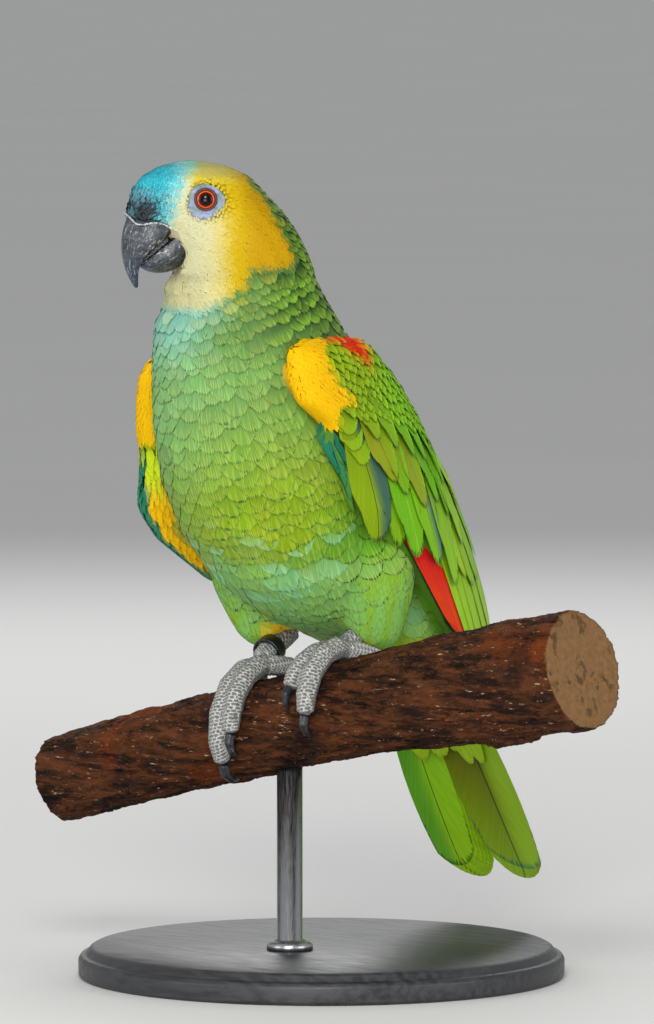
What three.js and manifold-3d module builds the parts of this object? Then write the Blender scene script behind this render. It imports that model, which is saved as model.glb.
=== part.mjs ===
// Amazon parrot perched on a cut length of branch, held by a plain display stand.
// Millimetres, +Z up. The bird faces -Y and its left side is +X.
// The origin is the centre of the underside of the stand's base.

import * as THREE from 'three';
import { mergeVertices } from 'three/addons/utils/BufferGeometryUtils.js';
import Module from 'manifold-3d';

const wasm = await Module();
wasm.setup();

// ---------------------------------------------------------------- driving dimensions

const GAP = 0.3;                    // clearance between neighbouring pieces

const PERCH_TOP = 120;              // height of the perch's top between the feet
const PERCH_SHIFT = -20;            // the perch stands forward of the base's centre
const PERCH_SLOPE = 13;             // degrees, rising toward the bird's left
const PERCH_DROP = 19;              // perch axis below its top at the middle
const PERCH_ENDS = [-118, 145];     // along the axis from the middle
const PERCH_RADII = [17.6, 17.9, 18.4, 18.8, 18.9, 19.2, 20.0, 22.4, 23.0, 23.4];
const PERCH_RIPPLE = { height: 0.35, ridges: 5, twist: 0.05 }; // low ridges that wind along it
const PERCH_BEND = 3;               // how far the left end bows down
const KNOT = { along: 103, radius: 14, drop: 13.5, stretch: [1.5, 1, 0.9] };

const BASE_RADIUS = 95;
const BASE_HEIGHT = 12;
const BASE_CHAMFER = 1.5;
const ROD_RADIUS = 5;
const ROD_SINK = 6;                 // depth of the rod in the base
const ROD_TOP = -28;                // top of the rod inside the perch, from the perch's top

const HEAD_CENTRE = [-6.4, -43, 177];
const HEAD_TURN = 40;               // degrees toward the bird's right
const EYE_RADIUS = 6.4;
const EYE_CENTRE = { forward: 4, side: 12.2, up: 8.6 };

const TARSUS_RADIUS = 4.2;
const HOCK_SWELL = 0.4;             // the tarsus is this much thicker at the hock
const TOE_SPLAY = 1.6;              // how soon a toe leaves the line of its root
const RING = { inner: 4.75, outer: 5.9, width: 5.5, bevel: 0.35, along: 0.3 };

// A claw's stations from inside the toe to its point: height off the bark beyond the toe's
// radius at the first three and off the bark alone at the last, and its radii.
const CLAW = { lift: [0, 1.6, 0.6], tip: 1.5, radii: [2.3, 2.1, 1.4, 0.5], buried: 0.1 };

// ---------------------------------------------------------------- shape tools

const radians = THREE.MathUtils.degToRad;
const lerp = THREE.MathUtils.lerp;
const vector = (x, y, z) => new THREE.Vector3(x, y, z);

// One closed mesh whose shared vertices are merged.
function welded(geometry) {
  const bare = geometry.index ? geometry : mergeVertices(geometry);
  bare.deleteAttribute('normal');
  bare.deleteAttribute('uv');
  return mergeVertices(bare, 1e-4);
}

function toSolid(geometry) {
  const mesh = welded(geometry.clone());
  const index = mesh.index.array;
  const faces = [];
  for (let i = 0; i < index.length; i += 3) {
    const [a, b, c] = [index[i], index[i + 1], index[i + 2]];
    if (a !== b && b !== c && c !== a) faces.push(a, b, c);
  }
  return new wasm.Manifold(new wasm.Mesh({
    numProp: 3,
    vertProperties: new Float32Array(mesh.attributes.position.array),
    triVerts: new Uint32Array(faces),
  }));
}

function toGeometry(solid) {
  const mesh = solid.getMesh();
  const geometry = new THREE.BufferGeometry();
  const points = new Float32Array(mesh.numVert * 3);
  for (let i = 0; i < mesh.numVert; i += 1) {
    for (let k = 0; k < 3; k += 1) points[3 * i + k] = mesh.vertProperties[mesh.numProp * i + k];
  }
  geometry.setAttribute('position', new THREE.BufferAttribute(points, 3));
  geometry.setIndex(new THREE.BufferAttribute(new Uint32Array(mesh.triVerts), 1));
  geometry.computeVertexNormals();
  return geometry;
}

// The same shape pushed outward along its normals, used to cut a gap beside it.
function inflated(geometry, distance) {
  const mesh = welded(geometry.clone());
  mesh.computeVertexNormals();
  const { position, normal } = mesh.attributes;
  for (let i = 0; i < position.count; i += 1) {
    position.setXYZ(
      i,
      position.getX(i) + distance * normal.getX(i),
      position.getY(i) + distance * normal.getY(i),
      position.getZ(i) + distance * normal.getZ(i),
    );
  }
  return mesh;
}

// A sphere's grid of vertices mapped by place(s, angle, radius): s runs 0 to 1 from pole to
// pole, and radius rises from 0 at each pole to 1 over the rounded ends.
function mapped(around, along, ends, place) {
  const geometry = new THREE.SphereGeometry(1, around, along);
  const { position } = geometry.attributes;
  for (let i = 0; i < position.count; i += 1) {
    const row = Math.floor(i / (around + 1));
    const column = (i % (around + 1)) % around;
    const s = (1 - Math.cos(Math.PI * row / along)) / 2;
    let radius = 1;
    if (s < ends[0]) radius = Math.sqrt(Math.max(0, 1 - (1 - s / ends[0]) ** 2));
    if (1 - s < ends[1]) radius *= Math.sqrt(Math.max(0, 1 - (1 - (1 - s) / ends[1]) ** 2));
    if (row === 0 || row === along) radius = 0;
    const point = place(s, 2 * Math.PI * column / around, radius);
    position.setXYZ(i, point.x, point.y, point.z);
  }
  return facingOut(welded(geometry));
}

// Turns the faces round if the volume they enclose is negative.
function facingOut(geometry) {
  const { position } = geometry.attributes;
  const index = geometry.index.array;
  const [a, b, c] = [vector(), vector(), vector()];
  let volume = 0;
  for (let i = 0; i < index.length; i += 3) {
    a.fromBufferAttribute(position, index[i]);
    b.fromBufferAttribute(position, index[i + 1]);
    c.fromBufferAttribute(position, index[i + 2]);
    volume += a.dot(b.cross(c));
  }
  if (volume < 0) {
    for (let i = 0; i < index.length; i += 3) {
      [index[i + 1], index[i + 2]] = [index[i + 2], index[i + 1]];
    }
  }
  return geometry;
}

// Rings given by a front and a back point in the side view, a half width, and an egg factor
// that narrows the front. The frame turns (side, forward, up) into the bird's axes.
function ringLoft(rings, { around = 28, along = 24, ends = [0.1, 0.1], frame }) {
  const fronts = new THREE.CatmullRomCurve3(rings.map((r) => vector(...r.front, r.half)));
  const backs = new THREE.CatmullRomCurve3(rings.map((r) => vector(...r.back, r.egg ?? 0)));
  return mapped(around, along, ends, (s, angle, radius) => {
    const front = fronts.getPoint(s);
    const back = backs.getPoint(s);
    const reach = radius * Math.cos(angle);
    const forward = (front.x + back.x) / 2 + reach * (front.x - back.x) / 2;
    const up = (front.y + back.y) / 2 + reach * (front.y - back.y) / 2;
    const side = radius * front.z * Math.sin(angle) * (1 - back.z * Math.cos(angle));
    return frame(side, forward, up);
  });
}

// A round tube along points whose radius follows its own list.
function taperedTube(points, radii, { around = 12, along = 16, ends = [0.08, 0.08], flat = 1 }) {
  const line = new THREE.CatmullRomCurve3(points);
  const sizes = new THREE.CatmullRomCurve3(radii.map((r, i) => vector(i, r, 0)));
  const reference = vector(1, 0, 0);
  return mapped(around, along, ends, (s, angle, radius) => {
    const centre = line.getPoint(s);
    const tangent = line.getTangent(s);
    const side = reference.clone().addScaledVector(tangent, -reference.dot(tangent)).normalize();
    const normal = vector().crossVectors(tangent, side);
    const size = sizes.getPoint(s).y * radius;
    return centre
      .addScaledVector(side, size * Math.cos(angle))
      .addScaledVector(normal, size * flat * Math.sin(angle));
  });
}

function join(...solids) {
  return solids.reduce((all, one) => all.add(one));
}

function cut(solid, ...tools) {
  return tools.reduce((rest, tool) => rest.subtract(tool), solid);
}

const BLOCK_SIZE = 600;             // larger than the whole model

// A large block whose lower face passes through a point and faces against the given axis.
function halfSpace(point, axis) {
  const block = new THREE.BoxGeometry(BLOCK_SIZE, BLOCK_SIZE, BLOCK_SIZE);
  block.translate(0, 0, BLOCK_SIZE / 2);
  const turn = new THREE.Quaternion().setFromUnitVectors(vector(0, 0, 1), axis.clone().normalize());
  block.applyQuaternion(turn);
  block.translate(point.x, point.y, point.z);
  return toSolid(block);
}

// Parts a solid in two at a plane, with the gap between the halves.
function parted(solid, point, axis) {
  const unit = axis.clone().normalize();
  const upper = halfSpace(point.clone().addScaledVector(unit, GAP / 2), unit);
  const lower = halfSpace(point.clone().addScaledVector(unit, -GAP / 2), unit.clone().negate());
  return [solid.intersect(upper), solid.intersect(lower)];
}

// ---------------------------------------------------------------- frames

const bodyFrame = (side, forward, up) => vector(side, -forward, up);

const headTurn = radians(HEAD_TURN);
function headFrame(side, forward, up) {
  return vector(
    HEAD_CENTRE[0] - forward * Math.sin(headTurn) + side * Math.cos(headTurn),
    HEAD_CENTRE[1] - forward * Math.cos(headTurn) - side * Math.sin(headTurn),
    HEAD_CENTRE[2] + up,
  );
}

// ---------------------------------------------------------------- trunk, neck and head

// In the body frame, forward is toward the breast, so the tail end is negative.
const TRUNK_RINGS = [
  { front: [52, 164], back: [10, 166], half: 22, egg: 0 },
  { front: [60, 156], back: [4, 158], half: 27.5, egg: 0 },
  { front: [62.5, 146], back: [-2, 148], half: 31, egg: 0 },
  { front: [63.5, 130], back: [-13, 136], half: 35, egg: -0.05 },
  { front: [63, 108], back: [-29, 118], half: 37.5, egg: -0.1 },
  { front: [60, 86], back: [-43, 96], half: 39.5, egg: -0.12 },
  { front: [52, 64], back: [-56, 72], half: 39.5, egg: -0.12 },
  { front: [36, 43], back: [-67, 50], half: 37, egg: -0.1 },
  { front: [10, 25], back: [-77, 30], half: 32, egg: -0.05 },
  { front: [-24, 12], back: [-87, 14], half: 26, egg: 0 },
  { front: [-54, 0], back: [-96, -1], half: 20, egg: 0 },
  { front: [-78, -18], back: [-104, -16], half: 16, egg: 0 },
];

const HEAD_RINGS = [
  { front: [15, 22.6], back: [-2, 22.6], half: 9, egg: 0 },
  { front: [24.5, 17.4], back: [-14.8, 17.6], half: 15.2, egg: 0.08 },
  { front: [30, 9.6], back: [-23, 9.4], half: 17.8, egg: 0.22 },
  { front: [27.5, 2], back: [-29.5, 2], half: 19.6, egg: 0.34 },
  { front: [19.5, -5], back: [-34.5, -5], half: 21.5, egg: 0.28 },
  { front: [12.5, -12], back: [-38, -12], half: 23.5, egg: 0.2 },
  { front: [13, -19], back: [-40.5, -18], half: 26, egg: 0.12 },
  { front: [18.5, -25], back: [-41.5, -23], half: 28, egg: 0.05 },
  { front: [19.5, -31], back: [-42, -28], half: 28.5, egg: 0 },
];

const CERE_RINGS = [
  { front: [30.6, 8.8], back: [19, 9.2], half: 7, egg: 0.25 },
  { front: [33.2, 5], back: [16, 5], half: 10, egg: 0.25 },
  { front: [33.4, 0.5], back: [14, 0], half: 10.6, egg: 0.25 },
  { front: [30, -2.5], back: [15, -3], half: 9.4, egg: 0.2 },
];

// The bill's rings run from its base to its tip, in the head frame.
const BILL_UPPER_RINGS = [
  { front: [30, 4], back: [12, -2.5], half: 9.2, egg: 0.1 },
  { front: [33.4, -1], back: [16.2, -5.5], half: 9.4, egg: 0.12 },
  { front: [34.9, -7], back: [20.4, -10], half: 8.6, egg: 0.15 },
  { front: [34.9, -13.5], back: [25, -14.6], half: 6.7, egg: 0.15 },
  { front: [33.5, -19.4], back: [28.4, -19.2], half: 3.9, egg: 0.1 },
  { front: [31.4, -23.6], back: [28.6, -23.2], half: 2.2, egg: 0 },
  { front: [29.8, -26.6], back: [28.8, -26.4], half: 1, egg: 0 },
];

const BILL_LOWER_RINGS = [
  { front: [9, -3.5], back: [8, -19], half: 8.8, egg: 0 },
  { front: [14, -5], back: [12, -20.4], half: 8.8, egg: 0 },
  { front: [18, -9], back: [16.5, -21.8], half: 8.2, egg: 0 },
  { front: [23, -13], back: [20.4, -21.6], half: 6.8, egg: 0 },
  { front: [26.2, -15.6], back: [24.2, -19.8], half: 4.6, egg: 0 },
  { front: [27.4, -16.8], back: [26.6, -18.6], half: 2.6, egg: 0 },
];

const trunkShape = ringLoft(TRUNK_RINGS, {
  around: 24, along: 18, ends: [0.04, 0.05], frame: bodyFrame,
});
const headShape = ringLoft(HEAD_RINGS, {
  around: 20, along: 12, ends: [0.12, 0.04], frame: headFrame,
});
const cereShape = ringLoft(CERE_RINGS, {
  around: 10, along: 5, ends: [0.3, 0.25], frame: headFrame,
});
const billUpperShape = ringLoft(BILL_UPPER_RINGS, {
  around: 12, along: 10, ends: [0.08, 0.04], frame: headFrame,
});
const billLowerShape = ringLoft(BILL_LOWER_RINGS, {
  around: 10, along: 7, ends: [0.08, 0.1], frame: headFrame,
});

function eyeShape(side, radius) {
  const ball = new THREE.SphereGeometry(radius, 10, 6);
  const centre = headFrame(side * EYE_CENTRE.side, EYE_CENTRE.forward, EYE_CENTRE.up);
  ball.translate(centre.x, centre.y, centre.z);
  return welded(ball);
}

const billUpper = toSolid(billUpperShape);
const billLower = cut(toSolid(billLowerShape), toSolid(inflated(billUpperShape, GAP)));
const billRoom = join(
  toSolid(inflated(billUpperShape, GAP)),
  toSolid(inflated(billLowerShape, GAP)),
);
const cere = cut(toSolid(cereShape), billRoom);

const wholeBody = cut(
  join(toSolid(trunkShape), toSolid(headShape)),
  billRoom,
  toSolid(inflated(cereShape, GAP)),
  toSolid(eyeShape(1, EYE_RADIUS + GAP)),
  toSolid(eyeShape(-1, EYE_RADIUS + GAP)),
);
const HEAD_CUT = { point: vector(0, -36, 157), axis: vector(-0.1, -0.28, 1) };
const NECK_CUT = { point: vector(0, -30, 138), axis: vector(0, -0.3, 1) };
const [head, belowHead] = parted(wholeBody, HEAD_CUT.point, HEAD_CUT.axis);
const [neck, trunk] = parted(belowHead, NECK_CUT.point, NECK_CUT.axis);
const bodyRoom = join(toSolid(inflated(trunkShape, GAP)), toSolid(inflated(headShape, GAP)));

// ---------------------------------------------------------------- wings

// Wing stations from shoulder to tip, on the bird's left: front edge, outermost point, rear
// edge, and how far the solid reaches in behind the line between its edges.
const WING_STATIONS = [
  { front: [30, -38, 131], mid: [34, -17, 130], rear: [23, 2, 129], inner: 8 },
  { front: [35, -47, 119], mid: [42, -15, 119], rear: [22, 20, 120], inner: 16 },
  { front: [39, -40, 108], mid: [45, -5, 108], rear: [20, 33, 109], inner: 18 },
  { front: [40, -27, 98], mid: [46.5, 7, 96], rear: [17, 45, 98], inner: 18 },
  { front: [41, -17, 81], mid: [46.5, 19, 80], rear: [13, 60, 82], inner: 18 },
  { front: [41, -6, 64], mid: [45, 33, 64], rear: [10, 73, 65], inner: 16 },
  { front: [40, 14, 50], mid: [41.5, 50, 47], rear: [8, 87, 47], inner: 12 },
  { front: [33, 52, 18], mid: [31, 80, 20], rear: [6, 106, 20], inner: 6 },
  { front: [24, 82, -4], mid: [23, 98, -2], rear: [5, 118, 0], inner: 2 },
  { front: [14, 118, -30], mid: [10, 124, -29], rear: [4, 128, -27], inner: 1.2 },
];

// The right wing hangs further from the body: its front edges, and the push outward of the
// outermost points.
const RIGHT_FRONTS = [
  [30, -36, 130], [37, -39, 118], [43, -36, 106], [48, -31, 93],
  [52, -23, 75], [52, -13, 59], [47, 5, 42],
];
const RIGHT_PUSH = [0, 1.5, 3, 4, 5, 5, 4];

function wingShape(side) {
  const stations = WING_STATIONS.map((w, i) => {
    if (side > 0 || i >= RIGHT_FRONTS.length) return w;
    const mid = [w.mid[0] + RIGHT_PUSH[i], w.mid[1], w.mid[2]];
    return { ...w, mid, front: RIGHT_FRONTS[i] };
  });
  const fronts = new THREE.CatmullRomCurve3(stations.map((w) => vector(...w.front)));
  const mids = new THREE.CatmullRomCurve3(stations.map((w) => vector(...w.mid)));
  const rears = new THREE.CatmullRomCurve3(stations.map((w) => vector(...w.rear)));
  const inners = new THREE.CatmullRomCurve3(stations.map((w, i) => vector(w.inner, i, 0)));
  return mapped(18, 16, [0.08, 0.05], (s, angle, radius) => {
    const front = fronts.getPoint(s);
    const rear = rears.getPoint(s);
    const middle = front.clone().lerp(rear, 0.5);
    const across = front.clone().sub(middle);
    const bulge = mids.getPoint(s).sub(middle);
    const swell = radius * Math.sin(angle);
    if (swell < 0) bulge.setLength(inners.getPoint(s).x);
    const point = middle
      .addScaledVector(across, radius * Math.cos(angle))
      .addScaledVector(bulge, swell);
    point.x *= side;
    return point;
  });
}

const WING_CUTS = [
  { name: 'shoulder', point: vector(0, 10, 92), axis: vector(0, -0.72, 1) },
  { name: 'secondaries', point: vector(0, 66, 34), axis: vector(0, -0.9, 1) },
];

function wingPieces(side) {
  const shape = wingShape(side);
  const whole = cut(toSolid(shape), bodyRoom);
  const [shoulder, lower] = parted(whole, WING_CUTS[0].point, WING_CUTS[0].axis);
  const [secondaries, primaries] = parted(lower, WING_CUTS[1].point, WING_CUTS[1].axis);
  return { shape, shoulder, secondaries, primaries };
}

const wings = {
  left: wingPieces(1),
  right: wingPieces(-1),
};
const wingRoom = join(
  toSolid(inflated(wings.left.shape, GAP)),
  toSolid(inflated(wings.right.shape, GAP)),
);

// ---------------------------------------------------------------- tail

// Stations from the base to the tip: centre in the side view, half width, half thickness.
const TAIL_STATIONS = [
  { y: 86, z: -4, half: 14, thick: 5 },
  { y: 97, z: -20, half: 21, thick: 4.5 },
  { y: 108, z: -36, half: 26, thick: 3.6 },
  { y: 119, z: -53, half: 28.5, thick: 2.8 },
  { y: 132, z: -73, half: 27, thick: 2 },
  { y: 145, z: -94, half: 18, thick: 1.4 },
];
const TAIL_ARCH = 5;                // the sides fall toward the front
const TAIL_NOTCH = { depth: 5, width: 0.22, onset: 6 };

function tailShape() {
  const line = new THREE.CatmullRomCurve3(TAIL_STATIONS.map((t) => vector(0, t.y, t.z)));
  const sizes = new THREE.CatmullRomCurve3(TAIL_STATIONS.map((t) => vector(t.half, t.thick, 0)));
  return mapped(18, 12, [0.05, 0.12], (s, angle, radius) => {
    const tangent = line.getTangent(s);
    const size = sizes.getPoint(s);
    const normal = vector(0, -tangent.z, tangent.y);
    const reach = Math.cos(angle);
    const across = radius * reach;
    const notch = TAIL_NOTCH.depth * s ** TAIL_NOTCH.onset
      * Math.exp(-((across / TAIL_NOTCH.width) ** 2));
    return line.getPoint(s)
      .add(vector(size.x * across, 0, 0))
      .addScaledVector(normal, radius * size.y * Math.sin(angle) - TAIL_ARCH * across ** 2)
      .addScaledVector(tangent, -notch);
  });
}

const tail = cut(toSolid(tailShape()), bodyRoom, wingRoom);

// ---------------------------------------------------------------- perch

const slope = radians(PERCH_SLOPE);
const perchAxis = vector(Math.cos(slope), 0, Math.sin(slope));
const perchUp = vector(-Math.sin(slope), 0, Math.cos(slope));
const perchSpan = PERCH_ENDS[1] - PERCH_ENDS[0];

// A point by the perch: distance along it, radius, and angle from its top toward the front.
function perchPoint(along, radius, angle) {
  const bow = PERCH_BEND * (along / PERCH_ENDS[0]) ** 2;
  return vector(0, 0, -PERCH_DROP - bow)
    .addScaledVector(perchAxis, along)
    .addScaledVector(perchUp, radius * Math.cos(angle))
    .add(vector(0, -radius * Math.sin(angle), 0));
}

function perchRadius(along) {
  const place = (along - PERCH_ENDS[0]) / perchSpan * (PERCH_RADII.length - 1);
  const step = THREE.MathUtils.clamp(Math.floor(place), 0, PERCH_RADII.length - 2);
  return lerp(PERCH_RADII[step], PERCH_RADII[step + 1], place - step);
}

function perchShape() {
  const log = new THREE.CylinderGeometry(1, 1, 1, 16, 8);
  const { position } = log.attributes;
  for (let i = 0; i < position.count; i += 1) {
    const along = PERCH_ENDS[0] + (position.getY(i) + 0.5) * perchSpan;
    const angle = Math.atan2(position.getX(i), position.getZ(i));
    const radius = Math.hypot(position.getX(i), position.getZ(i));
    const ripple = PERCH_RIPPLE.ridges * angle + PERCH_RIPPLE.twist * along;
    const ridge = PERCH_RIPPLE.height * Math.sin(ripple);
    const point = perchPoint(along, radius * (perchRadius(along) + ridge), angle);
    position.setXYZ(i, point.x, point.y, point.z);
  }
  return facingOut(welded(log));
}

function knotShape() {
  const knot = new THREE.SphereGeometry(KNOT.radius, 8, 5);
  knot.scale(...KNOT.stretch);
  const place = perchPoint(KNOT.along, KNOT.drop, Math.PI);
  knot.translate(place.x, place.y, place.z);
  return welded(knot);
}

function rodShape(radius, extra) {
  const bottom = -PERCH_TOP + BASE_HEIGHT - ROD_SINK;
  const height = ROD_TOP - bottom + extra;
  const rod = new THREE.CylinderGeometry(radius, radius, height, 14);
  rod.rotateX(Math.PI / 2);
  rod.translate(0, 0, bottom + height / 2);
  return welded(rod);
}

const perch = cut(
  join(toSolid(perchShape()), toSolid(knotShape())),
  toSolid(rodShape(ROD_RADIUS + GAP, GAP)),
);

// ---------------------------------------------------------------- legs and feet

// Toes by foot. Each runs over the perch from a place along it and an angle from its top
// (degrees, toward the front) to another such place, with its two radii and its claw's swing.
const TOES = {
  left: [
    { from: [18, -20], to: [16, 62], base: 4.7, tip: 3.8, claw: 24 },
    { from: [22, -20], to: [26, 92], base: 4.8, tip: 3.9, claw: 25 },
    { from: [19, -6], to: [9, -84], base: 4.3, tip: 3.6, claw: -26 },
    { from: [21, -6], to: [38, -92], base: 4.3, tip: 3.7, claw: -26 },
  ],
  right: [
    { from: [-13, -8], to: [-11, 94], base: 4.8, tip: 3.8, claw: 28 },
    { from: [-17, -8], to: [-17, 122], base: 4.8, tip: 3.9, claw: 34 },
    { from: [-14, 10], to: [-2, -76], base: 4.3, tip: 3.6, claw: -26 },
    { from: [-16, 10], to: [-32, -88], base: 4.3, tip: 3.7, claw: -26 },
  ],
};
const LEGS = {
  left: { side: 1, root: [20, 8, 11], hock: [23, 32, 20], thigh: [27, 19] },
  right: { side: -1, root: [-15, 0, 4.5], hock: [-19, 26, 14], thigh: [-27, 11] },
};

// A point clear of the bark by the given distance, at a side place x and an angle from the top.
function overBark(x, clear, angle) {
  const reach = perchRadius(x) + clear;
  const along = (x + reach * Math.cos(angle) * Math.sin(slope)) / Math.cos(slope);
  return perchPoint(along, reach, angle);
}

function toePoint(toe, part, radius) {
  const x = lerp(toe.to[0], toe.from[0], (1 - part) ** TOE_SPLAY);
  const angle = radians(lerp(toe.from[1], toe.to[1], part));
  return overBark(x, radius + GAP, angle);
}

function toeShape(toe) {
  const parts = [0, 0.2, 0.4, 0.6, 0.8, 1];
  const radii = parts.map((p) => lerp(toe.base, toe.tip, p));
  const points = parts.map((p, i) => toePoint(toe, p, radii[i]));
  return taperedTube(points, radii, { around: 8, along: 7, ends: [0.1, 0.1] });
}

// A claw starts inside the toe's tip, stands off the bark and curves back to touch it.
function clawShape(toe) {
  const [x, end] = toe.to;
  const clear = [...CLAW.lift.map((lift) => toe.tip + lift), CLAW.tip];
  const points = clear.map((height, i) => {
    const part = i / (clear.length - 1);
    const angle = radians(end + toe.claw * (part - CLAW.buried));
    return overBark(x, height, angle);
  });
  return taperedTube(points, CLAW.radii, { around: 6, along: 5, ends: [0.1, 0.1] });
}

// The straight line of a tarsus from the root of its toes back to the hock.
const tarsusLine = (leg) => new THREE.Line3(vector(...leg.root), vector(...leg.hock));

function tarsusShape(leg) {
  const line = tarsusLine(leg);
  const points = [1, 0.5, 0].map((part) => line.at(part, vector()));
  const radii = [TARSUS_RADIUS, TARSUS_RADIUS, TARSUS_RADIUS + HOCK_SWELL];
  return taperedTube(points, radii, { around: 10, along: 6, ends: [0.1, 0.14] });
}

// Each thigh's rings run from inside the belly down to the feathered hock, with places
// measured from the thigh's own centre line.
const THIGH_RINGS = [
  { front: [17, 60], back: [-17, 60], half: 15 },
  { front: [17, 45], back: [-17, 45], half: 15.5 },
  { front: [15, 30], back: [-15, 30], half: 14.5 },
  { front: [11, 17], back: [-12, 17], half: 11 },
  { front: [7, 8], back: [-9, 8], half: 8 },
];

const THIGH_LEAN = { inward: 0.16, back: 0.16, level: 30 }; // below this height it leans

function thighShape(leg) {
  const [x, y] = leg.thigh;
  const drift = { x: -leg.side * THIGH_LEAN.inward, y: THIGH_LEAN.back };
  return ringLoft(THIGH_RINGS, {
    around: 12,
    along: 8,
    ends: [0.1, 0.12],
    frame: (across, forward, up) => vector(
      x + across + drift.x * (THIGH_LEAN.level - up),
      y - forward + drift.y * (THIGH_LEAN.level - up),
      up,
    ),
  });
}

// A plain closed ring round the right tarsus, turned to lie square to it.
function legRing() {
  const half = RING.width / 2;
  const { bevel } = RING;
  const profile = [
    new THREE.Vector2(RING.inner, -half),
    new THREE.Vector2(RING.outer - bevel, -half),
    new THREE.Vector2(RING.outer, -half + bevel),
    new THREE.Vector2(RING.outer, half - bevel),
    new THREE.Vector2(RING.outer - bevel, half),
    new THREE.Vector2(RING.inner, half),
    new THREE.Vector2(RING.inner, -half),
  ];
  const band = new THREE.LatheGeometry(profile, 14);
  const line = tarsusLine(LEGS.right);
  const axis = line.delta(vector()).normalize();
  band.applyQuaternion(new THREE.Quaternion().setFromUnitVectors(vector(0, 1, 0), axis));
  const place = line.at(RING.along, vector());
  band.translate(place.x, place.y, place.z);
  return facingOut(welded(band));
}

const perchRoom = toSolid(inflated(perchShape(), GAP));
const ringRoom = toSolid(inflated(legRing(), GAP));

function legPieces(name) {
  const leg = LEGS[name];
  const toes = TOES[name];
  const tarsus = tarsusShape(leg);
  const claws = toes.map((toe) => cut(toSolid(clawShape(toe)), perchRoom));
  const clawRoom = join(...toes.map((toe) => toSolid(inflated(clawShape(toe), GAP))));
  const footRoom = join(
    toSolid(inflated(tarsus, GAP)),
    ...toes.map((toe) => toSolid(inflated(toeShape(toe), GAP))),
  );
  const thigh = cut(toSolid(thighShape(leg)), bodyRoom, wingRoom, footRoom, perchRoom, ringRoom);
  const foot = cut(
    join(toSolid(tarsus), ...toes.map((toe) => toSolid(toeShape(toe)))),
    perchRoom,
    clawRoom,
    ringRoom,
    bodyRoom,
  );
  return { foot, thigh, claws };
}

const legs = { left: legPieces('left'), right: legPieces('right') };

// ---------------------------------------------------------------- stand base

function standBase() {
  const profile = [
    new THREE.Vector2(0, 0),
    new THREE.Vector2(BASE_RADIUS, 0),
    new THREE.Vector2(BASE_RADIUS, BASE_HEIGHT - BASE_CHAMFER),
    new THREE.Vector2(BASE_RADIUS - BASE_CHAMFER, BASE_HEIGHT),
    new THREE.Vector2(0, BASE_HEIGHT),
  ];
  const disc = new THREE.LatheGeometry(profile, 36);
  disc.rotateX(Math.PI / 2);
  const socket = rodShape(ROD_RADIUS + GAP, GAP);
  socket.translate(0, PERCH_SHIFT, PERCH_TOP - GAP);
  return cut(toSolid(facingOut(welded(disc))), toSolid(socket));
}

// ---------------------------------------------------------------- materials and assembly

const finish = (color, roughness, metalness = 0) =>
  new THREE.MeshStandardMaterial({ color, roughness, metalness });

const materials = {
  face: finish(0xe0c02a, 0.8),
  neck: finish(0x7fbf7a, 0.8),
  breast: finish(0x7cb544, 0.8),
  shoulder: finish(0xf0b800, 0.8),
  secondaries: finish(0x5e9a2c, 0.8),
  primaries: finish(0x4c8a24, 0.8),
  tail: finish(0x7fb02c, 0.8),
  bill: finish(0x3b3f45, 0.4),
  cere: finish(0x46494c, 0.7),
  eye: finish(0x8c1c10, 0.1),
  foot: finish(0x8f9398, 0.75),
  claw: finish(0x1d1d20, 0.35),
  ring: finish(0x26282b, 0.35, 0.6),
  bark: finish(0x5b3b30, 0.9),
  stand: finish(0x2b2d30, 0.55),
};

const bird = new THREE.Group();
bird.position.set(0, PERCH_SHIFT, PERCH_TOP);

function place(parent, name, geometry, material) {
  const mesh = new THREE.Mesh(geometry, material);
  mesh.name = name;
  parent.add(mesh);
}

place(bird, 'head', toGeometry(head), materials.face);
place(bird, 'neck', toGeometry(neck), materials.neck);
place(bird, 'trunk', toGeometry(trunk), materials.breast);
place(bird, 'cere', toGeometry(cere), materials.cere);
place(bird, 'bill_upper', toGeometry(billUpper), materials.bill);
place(bird, 'bill_lower', toGeometry(billLower), materials.bill);
place(bird, 'eye_left', eyeShape(1, EYE_RADIUS), materials.eye);
place(bird, 'eye_right', eyeShape(-1, EYE_RADIUS), materials.eye);
place(bird, 'tail', toGeometry(tail), materials.tail);

for (const side of ['left', 'right']) {
  const wing = wings[side];
  const leg = legs[side];
  place(bird, `wing_${side}_shoulder`, toGeometry(wing.shoulder), materials.shoulder);
  place(bird, `wing_${side}_secondaries`, toGeometry(wing.secondaries), materials.secondaries);
  place(bird, `wing_${side}_primaries`, toGeometry(wing.primaries), materials.primaries);
  place(bird, `thigh_${side}`, toGeometry(leg.thigh), materials.breast);
  place(bird, `foot_${side}`, toGeometry(leg.foot), materials.foot);
  leg.claws.forEach((claw, i) => {
    place(bird, `claw_${side}_${i + 1}`, toGeometry(claw), materials.claw);
  });
}

place(bird, 'leg_ring', legRing(), materials.ring);
place(bird, 'perch', toGeometry(perch), materials.bark);
place(bird, 'stand_rod', rodShape(ROD_RADIUS, 0), materials.stand);

const parrot = new THREE.Group();
parrot.add(bird);
place(parrot, 'stand_base', toGeometry(standBase()), materials.stand);

export default parrot;
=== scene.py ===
"""Finish of the perched amazon parrot: skin, feathers, bill, eyes, feet, branch and stand."""

import itertools
import math

import bmesh
import bpy
import numpy as np
from mathutils import Matrix, Vector, noise
from mathutils.bvhtree import BVHTree


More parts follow.
